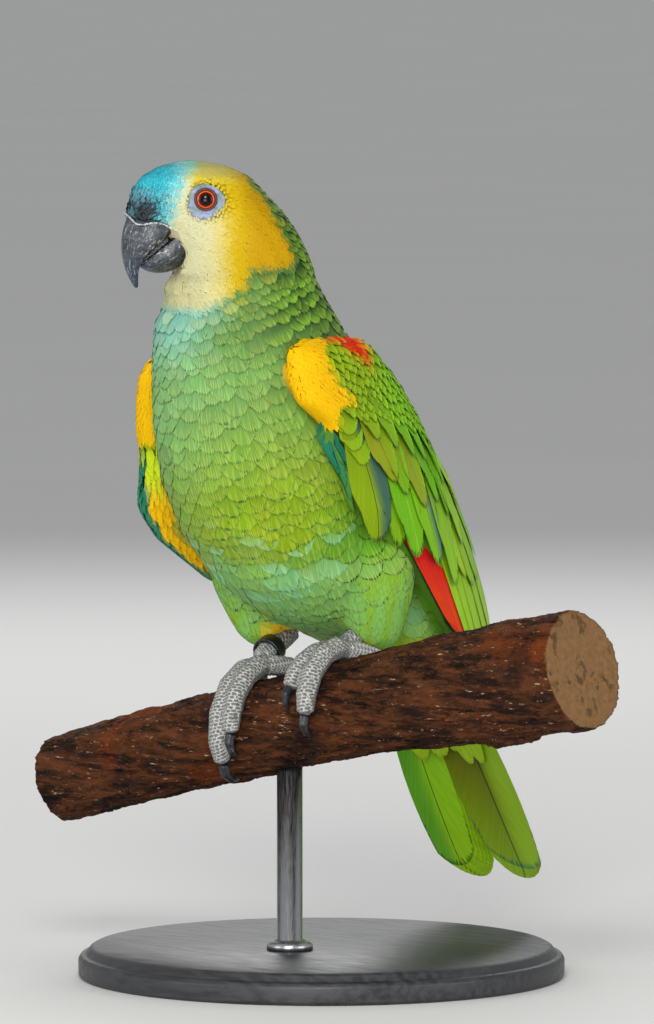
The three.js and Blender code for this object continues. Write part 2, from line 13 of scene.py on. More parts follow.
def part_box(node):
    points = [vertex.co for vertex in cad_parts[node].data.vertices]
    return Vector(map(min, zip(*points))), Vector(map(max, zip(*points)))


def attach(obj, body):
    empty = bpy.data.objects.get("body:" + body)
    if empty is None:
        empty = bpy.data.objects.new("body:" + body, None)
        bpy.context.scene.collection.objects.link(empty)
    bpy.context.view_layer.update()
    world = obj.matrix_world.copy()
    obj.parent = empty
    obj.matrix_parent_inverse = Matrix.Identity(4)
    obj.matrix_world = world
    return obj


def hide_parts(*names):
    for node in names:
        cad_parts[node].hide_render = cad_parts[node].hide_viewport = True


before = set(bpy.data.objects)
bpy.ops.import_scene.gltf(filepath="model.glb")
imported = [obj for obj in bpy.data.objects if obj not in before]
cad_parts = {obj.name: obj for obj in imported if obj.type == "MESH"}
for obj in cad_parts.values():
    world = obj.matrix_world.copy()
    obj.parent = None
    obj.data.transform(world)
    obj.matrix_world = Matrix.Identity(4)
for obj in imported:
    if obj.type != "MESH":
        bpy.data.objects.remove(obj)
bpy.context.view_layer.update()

# ------------------------------------------------------------------ places taken from the frame

MM = 0.001
ROD_TOP_BELOW_PERCH = 28
PERCH_SLOPE = math.radians(13)
PERCH_DROP = 19      # the branch's axis below its top
FAR = 120.0          # rays start this far to the side
rod_low, rod_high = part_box("stand_rod")
ORIGIN = np.array([(rod_low.x + rod_high.x) / 2, (rod_low.y + rod_high.y) / 2,
                   rod_high.z + ROD_TOP_BELOW_PERCH * MM])


def middle_of(node):
    low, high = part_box(node)
    return (np.array(low + high) / 2 - ORIGIN) / MM


# The bird's own millimetres: x to its left, y back, z up, from the perch's top between the feet.
# The head's own: forward along the bill, to its left, and up from the head's centre.
UP = np.array([0.0, 0.0, 1.0])
EYES = {1: middle_of("eye_left"), -1: middle_of("eye_right")}
EYE_FORWARD = 4.0
EYE_UP = 8.6
HEAD_LEFT = EYES[1] - EYES[-1]
HEAD_LEFT /= np.linalg.norm(HEAD_LEFT)
HEAD_FORWARD = np.array([HEAD_LEFT[1], -HEAD_LEFT[0], 0.0])
HEAD_CENTRE = (EYES[1] + EYES[-1]) / 2 - EYE_FORWARD * HEAD_FORWARD - EYE_UP * UP

# The finished eyes sit a little behind and below the frame's own.
EYE_BACK = 1.2
EYE_LOWER = 0.6
EYE_FORWARD -= EYE_BACK
EYE_UP -= EYE_LOWER
EYES = {s: p - EYE_BACK * HEAD_FORWARD - EYE_LOWER * UP for s, p in EYES.items()}

rng = np.random.default_rng(41)


def head_point(forward, left, up):
    return HEAD_CENTRE + forward * HEAD_FORWARD + left * HEAD_LEFT + up * UP


def head_axes(points):
    away = points - HEAD_CENTRE
    return away @ HEAD_FORWARD, away @ HEAD_LEFT, away[:, 2]


# ------------------------------------------------------------------ small sums

def unit(vectors):
    return vectors / np.maximum(np.linalg.norm(vectors, axis=-1, keepdims=True), 1e-9)


def dot(a, b):
    return np.sum(a * b, axis=-1)


def smooth(low, high, values):
    part = np.clip((values - low) / (high - low), 0, 1)
    return part * part * (3 - 2 * part)


def along_line(points, parts):
    """Places at parts (0 to 1 by length) of a line through a few points."""
    points = np.array(points, float)
    steps = np.linalg.norm(np.diff(points, axis=0), axis=1)
    reach = np.concatenate([[0], np.cumsum(steps)]) / steps.sum()
    parts = np.asarray(parts, float)
    return np.stack([np.interp(parts, reach, points[:, k]) for k in range(points.shape[1])], -1)


def inside(outline, x, y, soft):
    """1 inside a closed outline and 0 outside it, with a soft edge."""
    outline = np.array(outline, float)
    nearest = np.full(len(x), 1e9)
    odd = np.zeros(len(x), bool)
    for (ax, ay), (bx, by) in zip(outline, np.roll(outline, -1, axis=0)):
        dx, dy = bx - ax, by - ay
        part = np.clip(((x - ax) * dx + (y - ay) * dy) / (dx * dx + dy * dy), 0, 1)
        nearest = np.minimum(nearest, np.hypot(x - ax - part * dx, y - ay - part * dy))
        crosses = (ay > y) != (by > y)
        odd ^= crosses & (x < ax + (y - ay) * dx / np.where(dy == 0, 1e-9, dy))
    signed = np.where(odd, nearest, -nearest)
    return smooth(-soft, soft, signed)


def paint(red, green, blue):
    """A screen colour as the renderer's own linear one."""
    parts = np.array([red, green, blue]) / 255
    return np.where(parts <= 0.04045, parts / 12.92, ((parts + 0.055) / 1.055) ** 2.4)


def mix(a, b, share):
    share = np.asarray(share)[..., None]
    return a * (1 - share) + b * share


# ------------------------------------------------------------------ markings of skin and coat

TURQUOISE = paint(52, 172, 188)
PALE_BLUE = paint(150, 200, 190)
BLUE_GREY = paint(112, 150, 160)
CREAM = paint(194, 192, 154)
WARM_CREAM = paint(188, 184, 140)
YELLOW = paint(190, 168, 12)
DEEP_YELLOW = paint(170, 132, 0)
SHOULDER_YELLOW = paint(216, 168, 0)
NAPE_GREEN = paint(40, 92, 40)
NECK_BLUE = paint(121, 180, 162)
NECK_GREEN = paint(78, 116, 56)
BREAST = paint(93, 134, 62)
BREAST_BLUE = paint(113, 161, 102)
BELLY = paint(115, 144, 15)
BELLY_BLUE = paint(112, 184, 122)
BACK = paint(76, 138, 26)
VENT = paint(150, 186, 28)
THIGH = paint(120, 166, 48)
FLAME = paint(188, 34, 4)
OLIVE = paint(118, 146, 12)
WING_GREEN = paint(100, 164, 20)
LIGHT_GREEN = paint(146, 188, 22)
RED = paint(200, 16, 18)
TEAL = paint(34, 112, 84)
SLATE = paint(70, 92, 108)
DARK_RIM = paint(14, 38, 18)
CERE_GREY = paint(50, 56, 62)
FOOT_GREY = paint(96, 99, 102)

# Outlines in the head's side view: forward, up.
FACE = [(6, 23), (13, 14.5), (16.8, 7), (17.2, 1), (19, -6), (17, -31), (8, -32.5), (0, -28),
        (-9, -23), (-10, -16.5), (-19, -15.5), (-27, -16), (-29.5, -10), (-25, -4.5),
        (-22.5, 1.5), (-18, 10), (-12.5, 15.5), (-10.5, 19), (-6, 23)]
FOREHEAD = [(12.5, 27), (12, 21), (13.2, 14), (16, 7), (16.8, 0.5), (19, -3), (40, -3), (40, 20),
            (23, 30)]

# Outlines in a wing's side view: back, up.
SHOULDER = {
    1: [(-60, 150), (-30, 142), (-30, 130.8), (-34, 125.4), (-32.8, 122.5), (-31.5, 118.3),
        (-29, 115.4), (-25.3, 112.4), (-19.9, 107.9), (-27.2, 107.1), (-31.4, 104.1),
        (-30.1, 101.2), (-29, 98.6), (-36, 97), (-60, 104)],
    -1: [(-60, 140), (-24, 134), (-20, 120), (-22, 108), (-26, 98), (-28, 88), (-60, 82)],
}
SHOULDER_EDGE = [(-34, 141), (-33, 133), (-26, 131.2), (-21, 129), (-16, 126.4), (-10, 123.6),
                 (-6, 121.4), (-5, 124), (-15, 133.5), (-24, 138)]
NOSTRIL = (26.6, 2.2)


def from_nostril(forward, up):
    return np.hypot(forward - NOSTRIL[0], up - NOSTRIL[1])


def head_marking(points):
    forward, left, up = head_axes(points)
    wobble = 0.7 * np.sin(forward * 1.9 + up * 1.3) + 0.5 * np.sin(up * 2.7 - forward)
    shifted = forward + wobble
    face = inside(FACE, shifted, up, 2.0)
    cream = smooth(-6, 8, forward) * smooth(8, 1, up)
    cream = np.maximum(cream, smooth(8, 12, forward) * smooth(19, 12, up))
    colour = mix(DEEP_YELLOW, YELLOW, smooth(-16, 4, forward))
    colour = mix(colour, mix(CREAM, WARM_CREAM, smooth(-16, -28, up)), cream * 0.95)
    colour = mix(colour, paint(164, 158, 88), 0.9 * smooth(13, 20, up) * smooth(-12, 0, forward))
    nape = smooth(-13, -24, forward)
    under = mix(mix(NECK_GREEN, NECK_BLUE, smooth(-6, 12, forward)), NAPE_GREEN, 0.6 * nape)
    colour = mix(under, colour, face)
    fore = inside(FOREHEAD, shifted, up, 2.2)
    fringe = inside(FOREHEAD, shifted - 3.5, up, 3)
    blue = mix(mix(PALE_BLUE, TURQUOISE, 0.35), TURQUOISE, fringe)
    blue = mix(blue, BLUE_GREY, 0.85 * smooth(20, 27, forward) * smooth(13, 7, up))
    near = from_nostril(forward + 0.4, up - 0.4)
    blue = mix(blue, CERE_GREY, smooth(6.6, 2.6, near))
    blue = mix(blue, CERE_GREY * 1.6, 0.7 * smooth(0.4, -1.4, up) * smooth(18, 21, forward))
    return mix(colour, blue, fore)


def body_marking(points):
    x, y, z = points.T
    front = smooth(-8, 20, -y - 4 + 0.42 * (z - 100))
    front = np.maximum(front, smooth(62, 50, z) * smooth(56, 34, y))
    blotch = np.sin(x * 0.31 + z * 0.17) + np.sin(z * 0.23 - x * 0.19 + 1.3)
    toward_flank = smooth(-26, 34, x + 0.22 * (110 - z))
    top = mix(BREAST_BLUE, BREAST, toward_flank)
    low = mix(mix(BREAST, BELLY, 0.45), BELLY, toward_flank)
    green = mix(top, low, smooth(118, 66, z - 0.2 * x))
    patch = smooth(0.2, 1.5, blotch) * smooth(74, 46, z) * smooth(44, 20, np.abs(x - 6))
    green = mix(green, BELLY_BLUE, np.clip(0.4 * patch + 0.5 * smooth(62, 44, z), 0, 0.7))
    neck = mix(NECK_BLUE, NECK_GREEN, smooth(-10, 16, x))
    green = mix(green, neck, smooth(122, 142, z))
    back = mix(BACK, NAPE_GREEN, smooth(110, 140, z))
    colour = mix(back, green, front)
    return mix(colour, VENT, smooth(30, 12, z) * smooth(0, 26, y))


def thigh_marking(points, side):
    x, y, z = points.T
    streak = 0.5 + 0.5 * np.sin(y * 0.55 + x * 0.4)
    colour = mix(THIGH, BELLY_BLUE, 0.4 * streak * smooth(50, 30, z))
    colour = mix(colour, BELLY, smooth(40, 52, z) * 0.8)
    if side > 0:
        hem = smooth(24, 12, z) * smooth(6, 2, np.abs(x - 26))
        return mix(colour, paint(228, 190, 20), 0.8 * hem)
    return mix(colour, paint(232, 190, 46), smooth(36, 26, z) * smooth(9, 4, np.abs(x + 12)))


def wing_marking(points, side):
    x, y, z = points.T
    jitter = 0.8 * np.sin(z * 0.9 + y * 1.7)
    green = mix(OLIVE, WING_GREEN, smooth(-20, 20, y))
    colour = mix(green, SHOULDER_YELLOW, inside(SHOULDER[side], y + jitter, z, 1.2))
    if side > 0:
        above = z - np.interp(y, [-31, -16, 0, 12], [132.4, 128, 120.4, 115])
        along = smooth(-36, -30, y) * smooth(0, -8, y)
        colour = mix(colour, paint(214, 116, 2), smooth(-4.5, 0.5, above) * along * 0.85)
        colour = mix(colour, FLAME, inside(SHOULDER_EDGE, y, z, 1.6))
    return colour


# ------------------------------------------------------------------ shells of the frame's nodes

def bare_mesh(name, points, faces):
    mesh = bpy.data.meshes.new(name)
    mesh.from_pydata(np.asarray(points, float).tolist(), [], np.asarray(faces).tolist())
    return mesh


def new_object(name, data):
    obj = bpy.data.objects.new(name, data)
    bpy.context.scene.collection.objects.link(obj)
    return obj


def arrays_of(mesh):
    points = np.empty(len(mesh.vertices) * 3)
    mesh.vertices.foreach_get("co", points)
    normals = np.empty(len(mesh.vertices) * 3)
    mesh.vertices.foreach_get("normal", normals)
    faces = [tuple(p.vertices) for p in mesh.polygons]
    return points.reshape(-1, 3), normals.reshape(-1, 3), faces


class Shell:
    """A closed surface in the bird's millimetres, with a quick way to find its nearest point."""

    def __init__(self, points, normals, faces):
        self.points = points
        self.normals = normals
        self.faces = faces
        self.tree = BVHTree.FromPolygons([Vector(p) for p in points], faces)

    def nearest(self, points):
        """The nearest places on the surface and the smooth normals there."""
        flat = points.reshape(-1, 3)
        place = np.empty_like(flat)
        normal = np.empty_like(flat)
        for i, p in enumerate(flat):
            found, _, face, _ = self.tree.find_nearest(Vector(p))
            place[i] = found
            corners = self.faces[face]
            weights = 1 / (np.linalg.norm(self.points[list(corners)] - place[i], axis=1) + 0.05)
            normal[i] = weights @ self.normals[list(corners)]
        return place.reshape(points.shape), unit(normal).reshape(points.shape)

    def shot(self, starts, ways):
        """Where rays first meet the surface, or nan where they miss."""
        found = np.full(starts.shape, np.nan)
        for i, (start, way) in enumerate(zip(starts, ways)):
            hit = self.tree.ray_cast(Vector(start), Vector(way))
            if hit[0] is not None:
                found[i] = hit[0]
        return found

    def depth(self, points):
        """How far points lie behind the surface; negative outside."""
        place, normal = self.nearest(points)
        return dot(place - points, normal)


def remeshed(mesh, voxel, rounds):
    obj = new_object("work", mesh)
    skin = obj.modifiers.new("skin", "REMESH")
    skin.mode = "VOXEL"
    skin.voxel_size = voxel
    relax = obj.modifiers.new("relax", "SMOOTH")
    relax.factor = 0.5
    relax.iterations = rounds
    graph = bpy.context.evaluated_depsgraph_get()
    result = bpy.data.meshes.new_from_object(obj.evaluated_get(graph))
    bpy.data.objects.remove(obj)
    return result


def node_copy(names, swell=0.0):
    """Some CAD nodes as one welded mesh in the bird's millimetres, each pushed out a little."""
    bm = bmesh.new()
    for name in names:
        bm.from_mesh(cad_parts[name].data)
    bmesh.ops.remove_doubles(bm, verts=bm.verts, dist=5e-6)
    bmesh.ops.translate(bm, verts=bm.verts, vec=-Vector(ORIGIN))
    bmesh.ops.scale(bm, verts=bm.verts, vec=(1 / MM,) * 3)
    bm.normal_update()
    for vert in bm.verts:
        vert.co += vert.normal * swell
    mesh = bpy.data.meshes.new("copy")
    bm.to_mesh(mesh)
    bm.free()
    return mesh


SWELL = 0.3  # how far a node is pushed out, so that neighbours weld
WING_PARTS = ("shoulder", "secondaries", "primaries")
SIDES = {1: "left", -1: "right"}


def eased(points):
    """Points of the head with the cere and the front of the throat drawn in a little."""
    forward, left, up = head_axes(points)
    back = 0.62 * np.maximum(forward - 29.2, 0) * smooth(-4, -1, up)
    throat = smooth(-17, -21, up) * smooth(-42, -30, up) * smooth(4, 14, forward)
    return points - np.outer(back + 2.4 * throat, HEAD_FORWARD)


def shell_of(names, voxel, rounds, shift=eased):
    """One smooth shell over some nodes, its points shifted after it has been smoothed."""
    points, normals, faces = arrays_of(remeshed(node_copy(names, SWELL), voxel, rounds))
    return Shell(shift(points), normals, faces)


# Edges of a folded wing in its side view: back, up.
REAR_EDGE = [(128, -30), (118, -2), (106, 20), (87, 47), (73, 65), (60, 82), (45, 98), (33, 109),
             (20, 120), (2, 129)]
FRONT_EDGE = [(52, 18), (14, 50), (-6, 64), (-17, 81), (-27, 98), (-40, 108), (-47, 119),
              (-38, 131)]


def edge_at(edge, z):
    """How far back an edge of the wing lies at a height."""
    back, up = zip(*edge)
    return np.interp(z, up, back)


def fuller(points):
    """A wing's points, moved to where its feathers lie: fuller behind, and a raised left bend."""
    x, y, z = points.T
    side = np.sign(x)
    back = smooth(44, 6, edge_at(REAR_EDGE, z) - y) * smooth(8, 22, np.abs(x))
    back = back * smooth(6, 30, z) * smooth(131, 118, z)
    bend = smooth(106, 124, z) * smooth(16, -8, y) * (side > 0)
    fore = smooth(14, 2, y - edge_at(FRONT_EDGE, z))
    left = fore * smooth(58, 76, z) * smooth(120, 108, z) * (side > 0)
    right = fore * smooth(26, 36, z) * smooth(84, 60, z) * (side < 0)
    move = np.column_stack([side * (2.4 * back + 1.6 * bend + 0.8 * left + 2.5 * right),
                            3.8 * back + 0.5 * bend - 3.0 * left - 7.5 * right,
                            0.6 * back + 6.5 * bend - 2.5 * right])
    return points + move


def wing_nodes(name):
    return [f"wing_{name}_{part}" for part in WING_PARTS]


def cloak():
    """Body, thighs and wings as one smooth surface, under the long coverts and the mantle."""
    bm = bmesh.new()
    both = wing_nodes("left") + wing_nodes("right")
    for names, shift in ((["neck", "trunk", "thigh_left", "thigh_right"], eased), (both, fuller)):
        mesh = node_copy(names, SWELL)
        mesh.vertices.foreach_set("co", shift(arrays_of(mesh)[0]).ravel())
        bm.from_mesh(mesh)
    mesh = bpy.data.meshes.new("cloak")
    bm.to_mesh(mesh)
    bm.free()
    return Shell(*arrays_of(remeshed(mesh, 1.5, 16)))


def side_shot(surface, side, flat):
    """Where level rays from one side meet a surface, for places in its side view: back, up."""
    starts = np.column_stack([np.full(len(flat), side * FAR), flat])
    return starts, surface.shot(starts, np.tile([-side * 1.0, 0, 0], (len(flat), 1)))


class Sheet:
    """A smooth sheet fitted to a wing's outer face, so that long feathers lie straight."""

    def __init__(self, side, surface):
        self.side = side
        y, z = np.meshgrid(np.linspace(-36, 100, 40), np.linspace(26, 112, 30))
        found = side_shot(surface, side, np.column_stack([y.ravel(), z.ravel()]))[1]
        found = found[~np.isnan(found[:, 0])]
        outward = surface.nearest(found)[1][:, 0] * side > 0.6
        front = edge_at(FRONT_EDGE, found[:, 2]) + (0 if side > 0 else 9)
        found = found[outward & (found[:, 1] > front)]
        terms = self.terms(found[:, 1], found[:, 2])
        self.parts = np.linalg.lstsq(terms, found[:, 0] * side, rcond=None)[0]

    @staticmethod
    def terms(y, z):
        y, z = y / 50, (z - 70) / 50
        return np.stack([np.ones_like(y), y, z, y * y, y * z, z * z], -1)

    def reach(self, y, z):
        ahead = np.maximum(edge_at(FRONT_EDGE, z) + 6 - y, 0)
        return self.side * (self.terms(y, z) @ self.parts - 4.2 * (1 - np.exp(-0.006 * ahead ** 2)))

    def shot(self, starts, ways):
        return np.column_stack([self.reach(starts[:, 1], starts[:, 2]), starts[:, 1:]])

    def nearest(self, points):
        x, y, z = points[..., 0], points[..., 1], points[..., 2]
        reach = self.reach(y, z)
        back = self.reach(y + 0.5, z) - self.reach(y - 0.5, z)
        up = self.reach(y, z + 0.5) - self.reach(y, z - 0.5)
        normal = self.side * unit(np.stack([np.ones_like(x), -back, -up], -1))
        height = (x - reach) * normal[..., 0]
        return points - height[..., None] * normal, normal


wings = {s: shell_of(wing_nodes(n), 1.3, 6, fuller) for s, n in SIDES.items()}
thighs = {s: shell_of([f"thigh_{n}"], 1.3, 8, np.array) for s, n in SIDES.items()}
body = shell_of(["head", "neck", "trunk"], 1.3, 14)
torso = shell_of(["head", "neck", "trunk", "thigh_left", "thigh_right"], 1.3, 12)
whole_head = shell_of(["head", "cere", "neck"], 1.0, 10)
cloak_shell = cloak()
sheets = {1: Sheet(1, wings[1]), -1: wings[-1]}


# ------------------------------------------------------------------ finished pieces

def finished(name, points, faces, material, replaces=(), attributes=None, uv=None):
    """A piece from arrays in the bird's millimetres, put in its place in the frame."""
    mesh = bare_mesh(name, np.asarray(points) * MM + ORIGIN, faces)
    corners = np.empty(len(mesh.loops), np.int64)
    mesh.loops.foreach_get("vertex_index", corners)
    for key, values in (attributes or {}).items():
        if values.ndim == 1:
            layer = mesh.attributes.new(key, "FLOAT", "POINT")
            layer.data.foreach_set("value", values)
            continue
        if values.shape[1] == 3:
            values = np.column_stack([values, np.ones(len(values))])
        layer = mesh.color_attributes.new(key, "FLOAT_COLOR", "POINT")
        layer.data.foreach_set("color", values.ravel())
    for key, values in (uv or {}).items():
        layer = mesh.uv_layers.new(name=key)
        layer.data.foreach_set("uv", np.asarray(values)[corners].ravel())
    return placed(new_object(name, mesh), material, replaces)


def placed(obj, material, replaces=()):
    obj.data.polygons.foreach_set("use_smooth", np.full(len(obj.data.polygons), True))
    obj.data.materials.append(material)
    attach(obj, "root")
    if replaces:
        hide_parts(*replaces)
    return obj


def from_bmesh(name, bm, material, replaces=(), levels=0):
    """A piece from a bmesh in the bird's millimetres."""
    bmesh.ops.recalc_face_normals(bm, faces=bm.faces)
    bmesh.ops.scale(bm, verts=bm.verts, vec=(MM,) * 3)
    bmesh.ops.translate(bm, verts=bm.verts, vec=Vector(ORIGIN))
    mesh = bpy.data.meshes.new(name)
    bm.to_mesh(mesh)
    bm.free()
    obj = new_object(name, mesh)
    if levels:
        rounding = obj.modifiers.new("rounding", "SUBSURF")
        rounding.levels = levels
        rounding.render_levels = levels
    return placed(obj, material, replaces)


# ------------------------------------------------------------------ shader building

def new_material(name):
    """A material with one Principled shader, and the web that its other nodes are made with."""
    material = bpy.data.materials.new(name)
    material.use_nodes = True
    tree = material.node_tree
    tree.nodes.clear()
    web = Web(tree)
    web.shader = tree.nodes.new("ShaderNodeBsdfPrincipled")
    output = tree.nodes.new("ShaderNodeOutputMaterial")
    tree.links.new(web.shader.outputs[0], output.inputs[0])
    return material, web


class Web:
    """Short calls for the nodes of one tree."""

    def __init__(self, tree):
        self.tree = tree

    def node(self, kind, inputs=None, **settings):
        made = self.tree.nodes.new("ShaderNode" + kind)
        for key, value in settings.items():
            setattr(made, key, value)
        for key, value in (inputs or {}).items():
            self.put(made.inputs[key], value)
        return made

    def put(self, socket, value):
        if isinstance(value, bpy.types.NodeSocket):
            self.tree.links.new(value, socket)
        elif socket.type == "RGBA":
            socket.default_value = (*value[:3], 1)
        else:
            socket.default_value = value

    def dress(self, colour, rough, relief=None, specular=0.5, metal=0.0):
        """Puts the shader's inputs; relief is a height, a strength and a distance."""
        self.put(self.shader.inputs["Base Color"], colour)
        self.put(self.shader.inputs["Roughness"], rough)
        if relief:
            self.put(self.shader.inputs["Normal"], self.bump(*relief))
        self.shader.inputs["Specular IOR Level"].default_value = specular
        self.shader.inputs["Metallic"].default_value = metal

    def math(self, operation, a, b=0.0, c=0.0):
        made = self.node("Math", {0: a, 1: b, 2: c}, operation=operation)
        return made.outputs[0]

    def times(self, a, b):
        return self.math("MULTIPLY", a, b)

    def plus(self, a, b):
        return self.math("ADD", a, b)

    def line(self, a, slope, start):
        """a times the slope, and the start added."""
        return self.math("MULTIPLY_ADD", a, slope, start)

    def spot(self, *parts):
        return self.node("CombineXYZ", dict(enumerate(parts))).outputs[0]

    def ramp(self, value, low, high, start=0.0, end=1.0):
        made = self.node("MapRange", {0: value, 1: low, 2: high, 3: start, 4: end},
                         interpolation_type="SMOOTHSTEP")
        return made.outputs[0]

    def mixed(self, share, a, b, blend="MIX"):
        made = self.node("Mix", data_type="RGBA", blend_type=blend)
        self.put(made.inputs[0], share)
        self.put(made.inputs[6], a)
        self.put(made.inputs[7], b)
        return made.outputs[2]

    def layers(self, colour, *more):
        """One colour over another, each with its share."""
        for share, tone in more:
            colour = self.mixed(share, colour, tone)
        return colour

    def noise(self, place, scale, detail=4.0, rough=0.55):
        made = self.node("TexNoise", {"Vector": place, "Scale": scale, "Detail": detail,
                                      "Roughness": rough})
        return made.outputs[0]

    def dimmed(self, colour, level):
        grey = self.node("CombineColor", {0: level, 1: level, 2: level}).outputs[0]
        return self.mixed(1.0, colour, grey, "MULTIPLY")

    def bump(self, height, strength, distance):
        made = self.node("Bump", {"Height": height, "Strength": strength, "Distance": distance})
        return made.outputs[0]

    def attribute(self, name):
        return self.node("Attribute", attribute_name=name)

    def place(self):
        return self.node("TexCoord").outputs["Object"]

    def mapped(self, scale, turn=0.0):
        """The piece's own place, stretched, and turned about Y."""
        inputs = {"Vector": self.place(), "Rotation": (0, turn, 0), "Scale": scale}
        return self.node("Mapping", inputs).outputs[0]


def new_group(name, inputs, outputs):
    """An empty node group with named sockets, and its two ends."""
    group = bpy.data.node_groups.new(name, "ShaderNodeTree")
    for key, kind, default in inputs:
        socket = group.interface.new_socket(key, in_out="INPUT", socket_type="NodeSocket" + kind)
        if default is not None:
            socket.default_value = default
    for key, kind in outputs:
        group.interface.new_socket(key, in_out="OUTPUT", socket_type="NodeSocket" + kind)
    given, made = (group.nodes.new("NodeGroup" + end) for end in ("Input", "Output"))
    return group, given.outputs, made.inputs


def barb_group():
    """Fine barbs that leave a feather's shaft, a rim of small dark marks and the shaft's line."""
    group, given, made = new_group(
        "feather_barbs",
        [("Vane", "Vector", None), ("Place", "Vector", None), ("Across", "Float", 6.0),
         ("Along", "Float", 2.5), ("Shaft", "Float", 0.05), ("Rim", "Float", 0.1),
         ("Dots", "Float", 0.8)],
        [("Barbs", "Float"), ("Shaft", "Float"), ("Rim", "Float"), ("Tip", "Float")])
    web = Web(group)
    parts = web.node("SeparateXYZ", {0: given["Vane"]}).outputs
    spot = web.node("SeparateXYZ", {0: given["Place"]}).outputs
    side = web.math("ABSOLUTE", web.line(parts[0], 2.0, -1.0))
    phase = web.math("SUBTRACT", web.times(side, given["Across"]),
                     web.times(parts[1], given["Along"]))
    which = web.line(spot[0], 60.0, web.times(spot[1], 60.0))
    where = web.spot(web.times(phase, 1.6), web.line(parts[1], 1.3, which),
                     web.times(parts[0], 1.2))
    strands = web.noise(where, 1.0, 1.5, 0.5)
    web.put(made["Barbs"], web.ramp(strands, 0.34, 0.66))
    web.put(made["Shaft"], web.ramp(side, 0.0, given["Shaft"], 1.0, 0.0))
    web.put(made["Tip"], web.ramp(parts[1], 0.45, 0.95))
    tip = web.math("SUBTRACT", 1.0, parts[1])
    edge = web.times(web.math("SUBTRACT", 1.0, side), 0.5)
    edge = web.plus(edge, web.ramp(parts[1], 0.45, 0.85, 0.5, 0.0))
    near = web.math("MINIMUM", tip, edge)
    near = web.plus(near, web.line(strands, 0.10, -0.05))
    rim = web.ramp(near, web.times(given["Rim"], 0.5), given["Rim"], 1.0, 0.0)
    broken = web.math("SUBTRACT", 1.0, web.times(given["Dots"], web.ramp(strands, 0.42, 0.55)))
    web.put(made["Rim"], web.times(rim, broken))
    return group


BARBS = barb_group()


def plumage(name, across, along, shaft, rim, dots, streak, glint=0.0, rough=0.55, relief=0.25):
    """Feather finish: colours from the piece's own attributes, fine lines from its Vane map."""
    material, web = new_material(name)
    lines = web.node("Group", node_tree=BARBS)
    given = {"Vane": web.node("UVMap", uv_map="Vane").outputs[0], "Place": web.place(),
             "Across": across, "Along": along, "Shaft": shaft, "Rim": rim, "Dots": dots}
    for key, value in given.items():
        web.put(lines.inputs[key], value)
    tone = web.attribute("tone").outputs["Color"]
    barbs = lines.outputs["Barbs"]
    level = web.line(barbs, streak, 1.0 - 0.6 * streak)
    colour = web.dimmed(tone, level)
    # Painted highlight: the barbs near the tip are lightened toward a pale warm yellow.
    if glint:
        light = web.mixed(1.0, tone, paint(252, 232, 120), "SCREEN")
        share = web.times(web.ramp(barbs, 0.55, 1.0), lines.outputs["Tip"])
        colour = web.mixed(web.times(share, glint), colour, light)
    for mark, name in (("Rim", "rim"), ("Shaft", "quill")):
        paints = web.attribute(name).outputs
        colour = web.mixed(web.times(lines.outputs[mark], paints["Alpha"]), colour, paints["Color"])
    height = web.plus(barbs, web.times(lines.outputs["Shaft"], 1.5))
    web.dress(colour, rough, (height, relief, 0.0002), specular=0.1)
    return material


# ------------------------------------------------------------------ vanes

def shaft_parts(rows):
    """Shares of a feather's length, closer together toward its tip."""
    return 1 - (1 - np.linspace(0, 1, rows)) ** 1.35


def vane_template(rows, columns):
    """Faces of one closed leaf: an upper grid and a lower one that share their border."""
    upper = np.arange(rows * columns).reshape(rows, columns)
    lower = upper.copy()
    lower[1:-1, 1:-1] = rows * columns + np.arange((rows - 2) * (columns - 2)).reshape(rows - 2, -1)

    def quads(grid, flip):
        corners = [grid[:-1, :-1], grid[:-1, 1:], grid[1:, 1:], grid[1:, :-1]]
        if flip:
            corners.reverse()
        return np.stack(corners, -1).reshape(-1, 4)

    return np.concatenate([quads(upper, False), quads(lower, True)])


class Tract:
    """Many feathers of one kind. Every list has one row for each feather."""

    def __init__(self, root, lie, length, width, tone, **more):
        self.root = np.asarray(root, float)
        self.lie = unit(np.asarray(lie, float))
        self.spine = more.pop("spine", None)
        given = {
            "length": length, "width": width, "tone": tone, "tip": tone, "vane": np.zeros(4),
            "hand": 1.0, "rim": DARK_RIM, "rim_share": 0.8, "quill": DARK_RIM, "quill_share": 0.0,
            "low": -1.5, "high": 0.3, "roll": 0.0, **more}
        wide = {"tone": 3, "tip": 3, "vane": 4, "rim": 3, "quill": 3}
        for key, value in given.items():
            shape = (len(root), wide[key]) if key in wide else len(root)
            setattr(self, key, np.broadcast_to(value, shape).astype(float))

    def __getitem__(self, chosen):
        part = Tract.__new__(Tract)
        for key, value in vars(self).items():
            setattr(part, key, None if value is None else value[chosen])
        return part

    @staticmethod
    def joined(tracts):
        every = Tract.__new__(Tract)
        for key in vars(tracts[0]):
            parts = [getattr(t, key) for t in tracts]
            whole = None if any(p is None for p in parts) else np.concatenate(parts)
            setattr(every, key, whole)
        return every


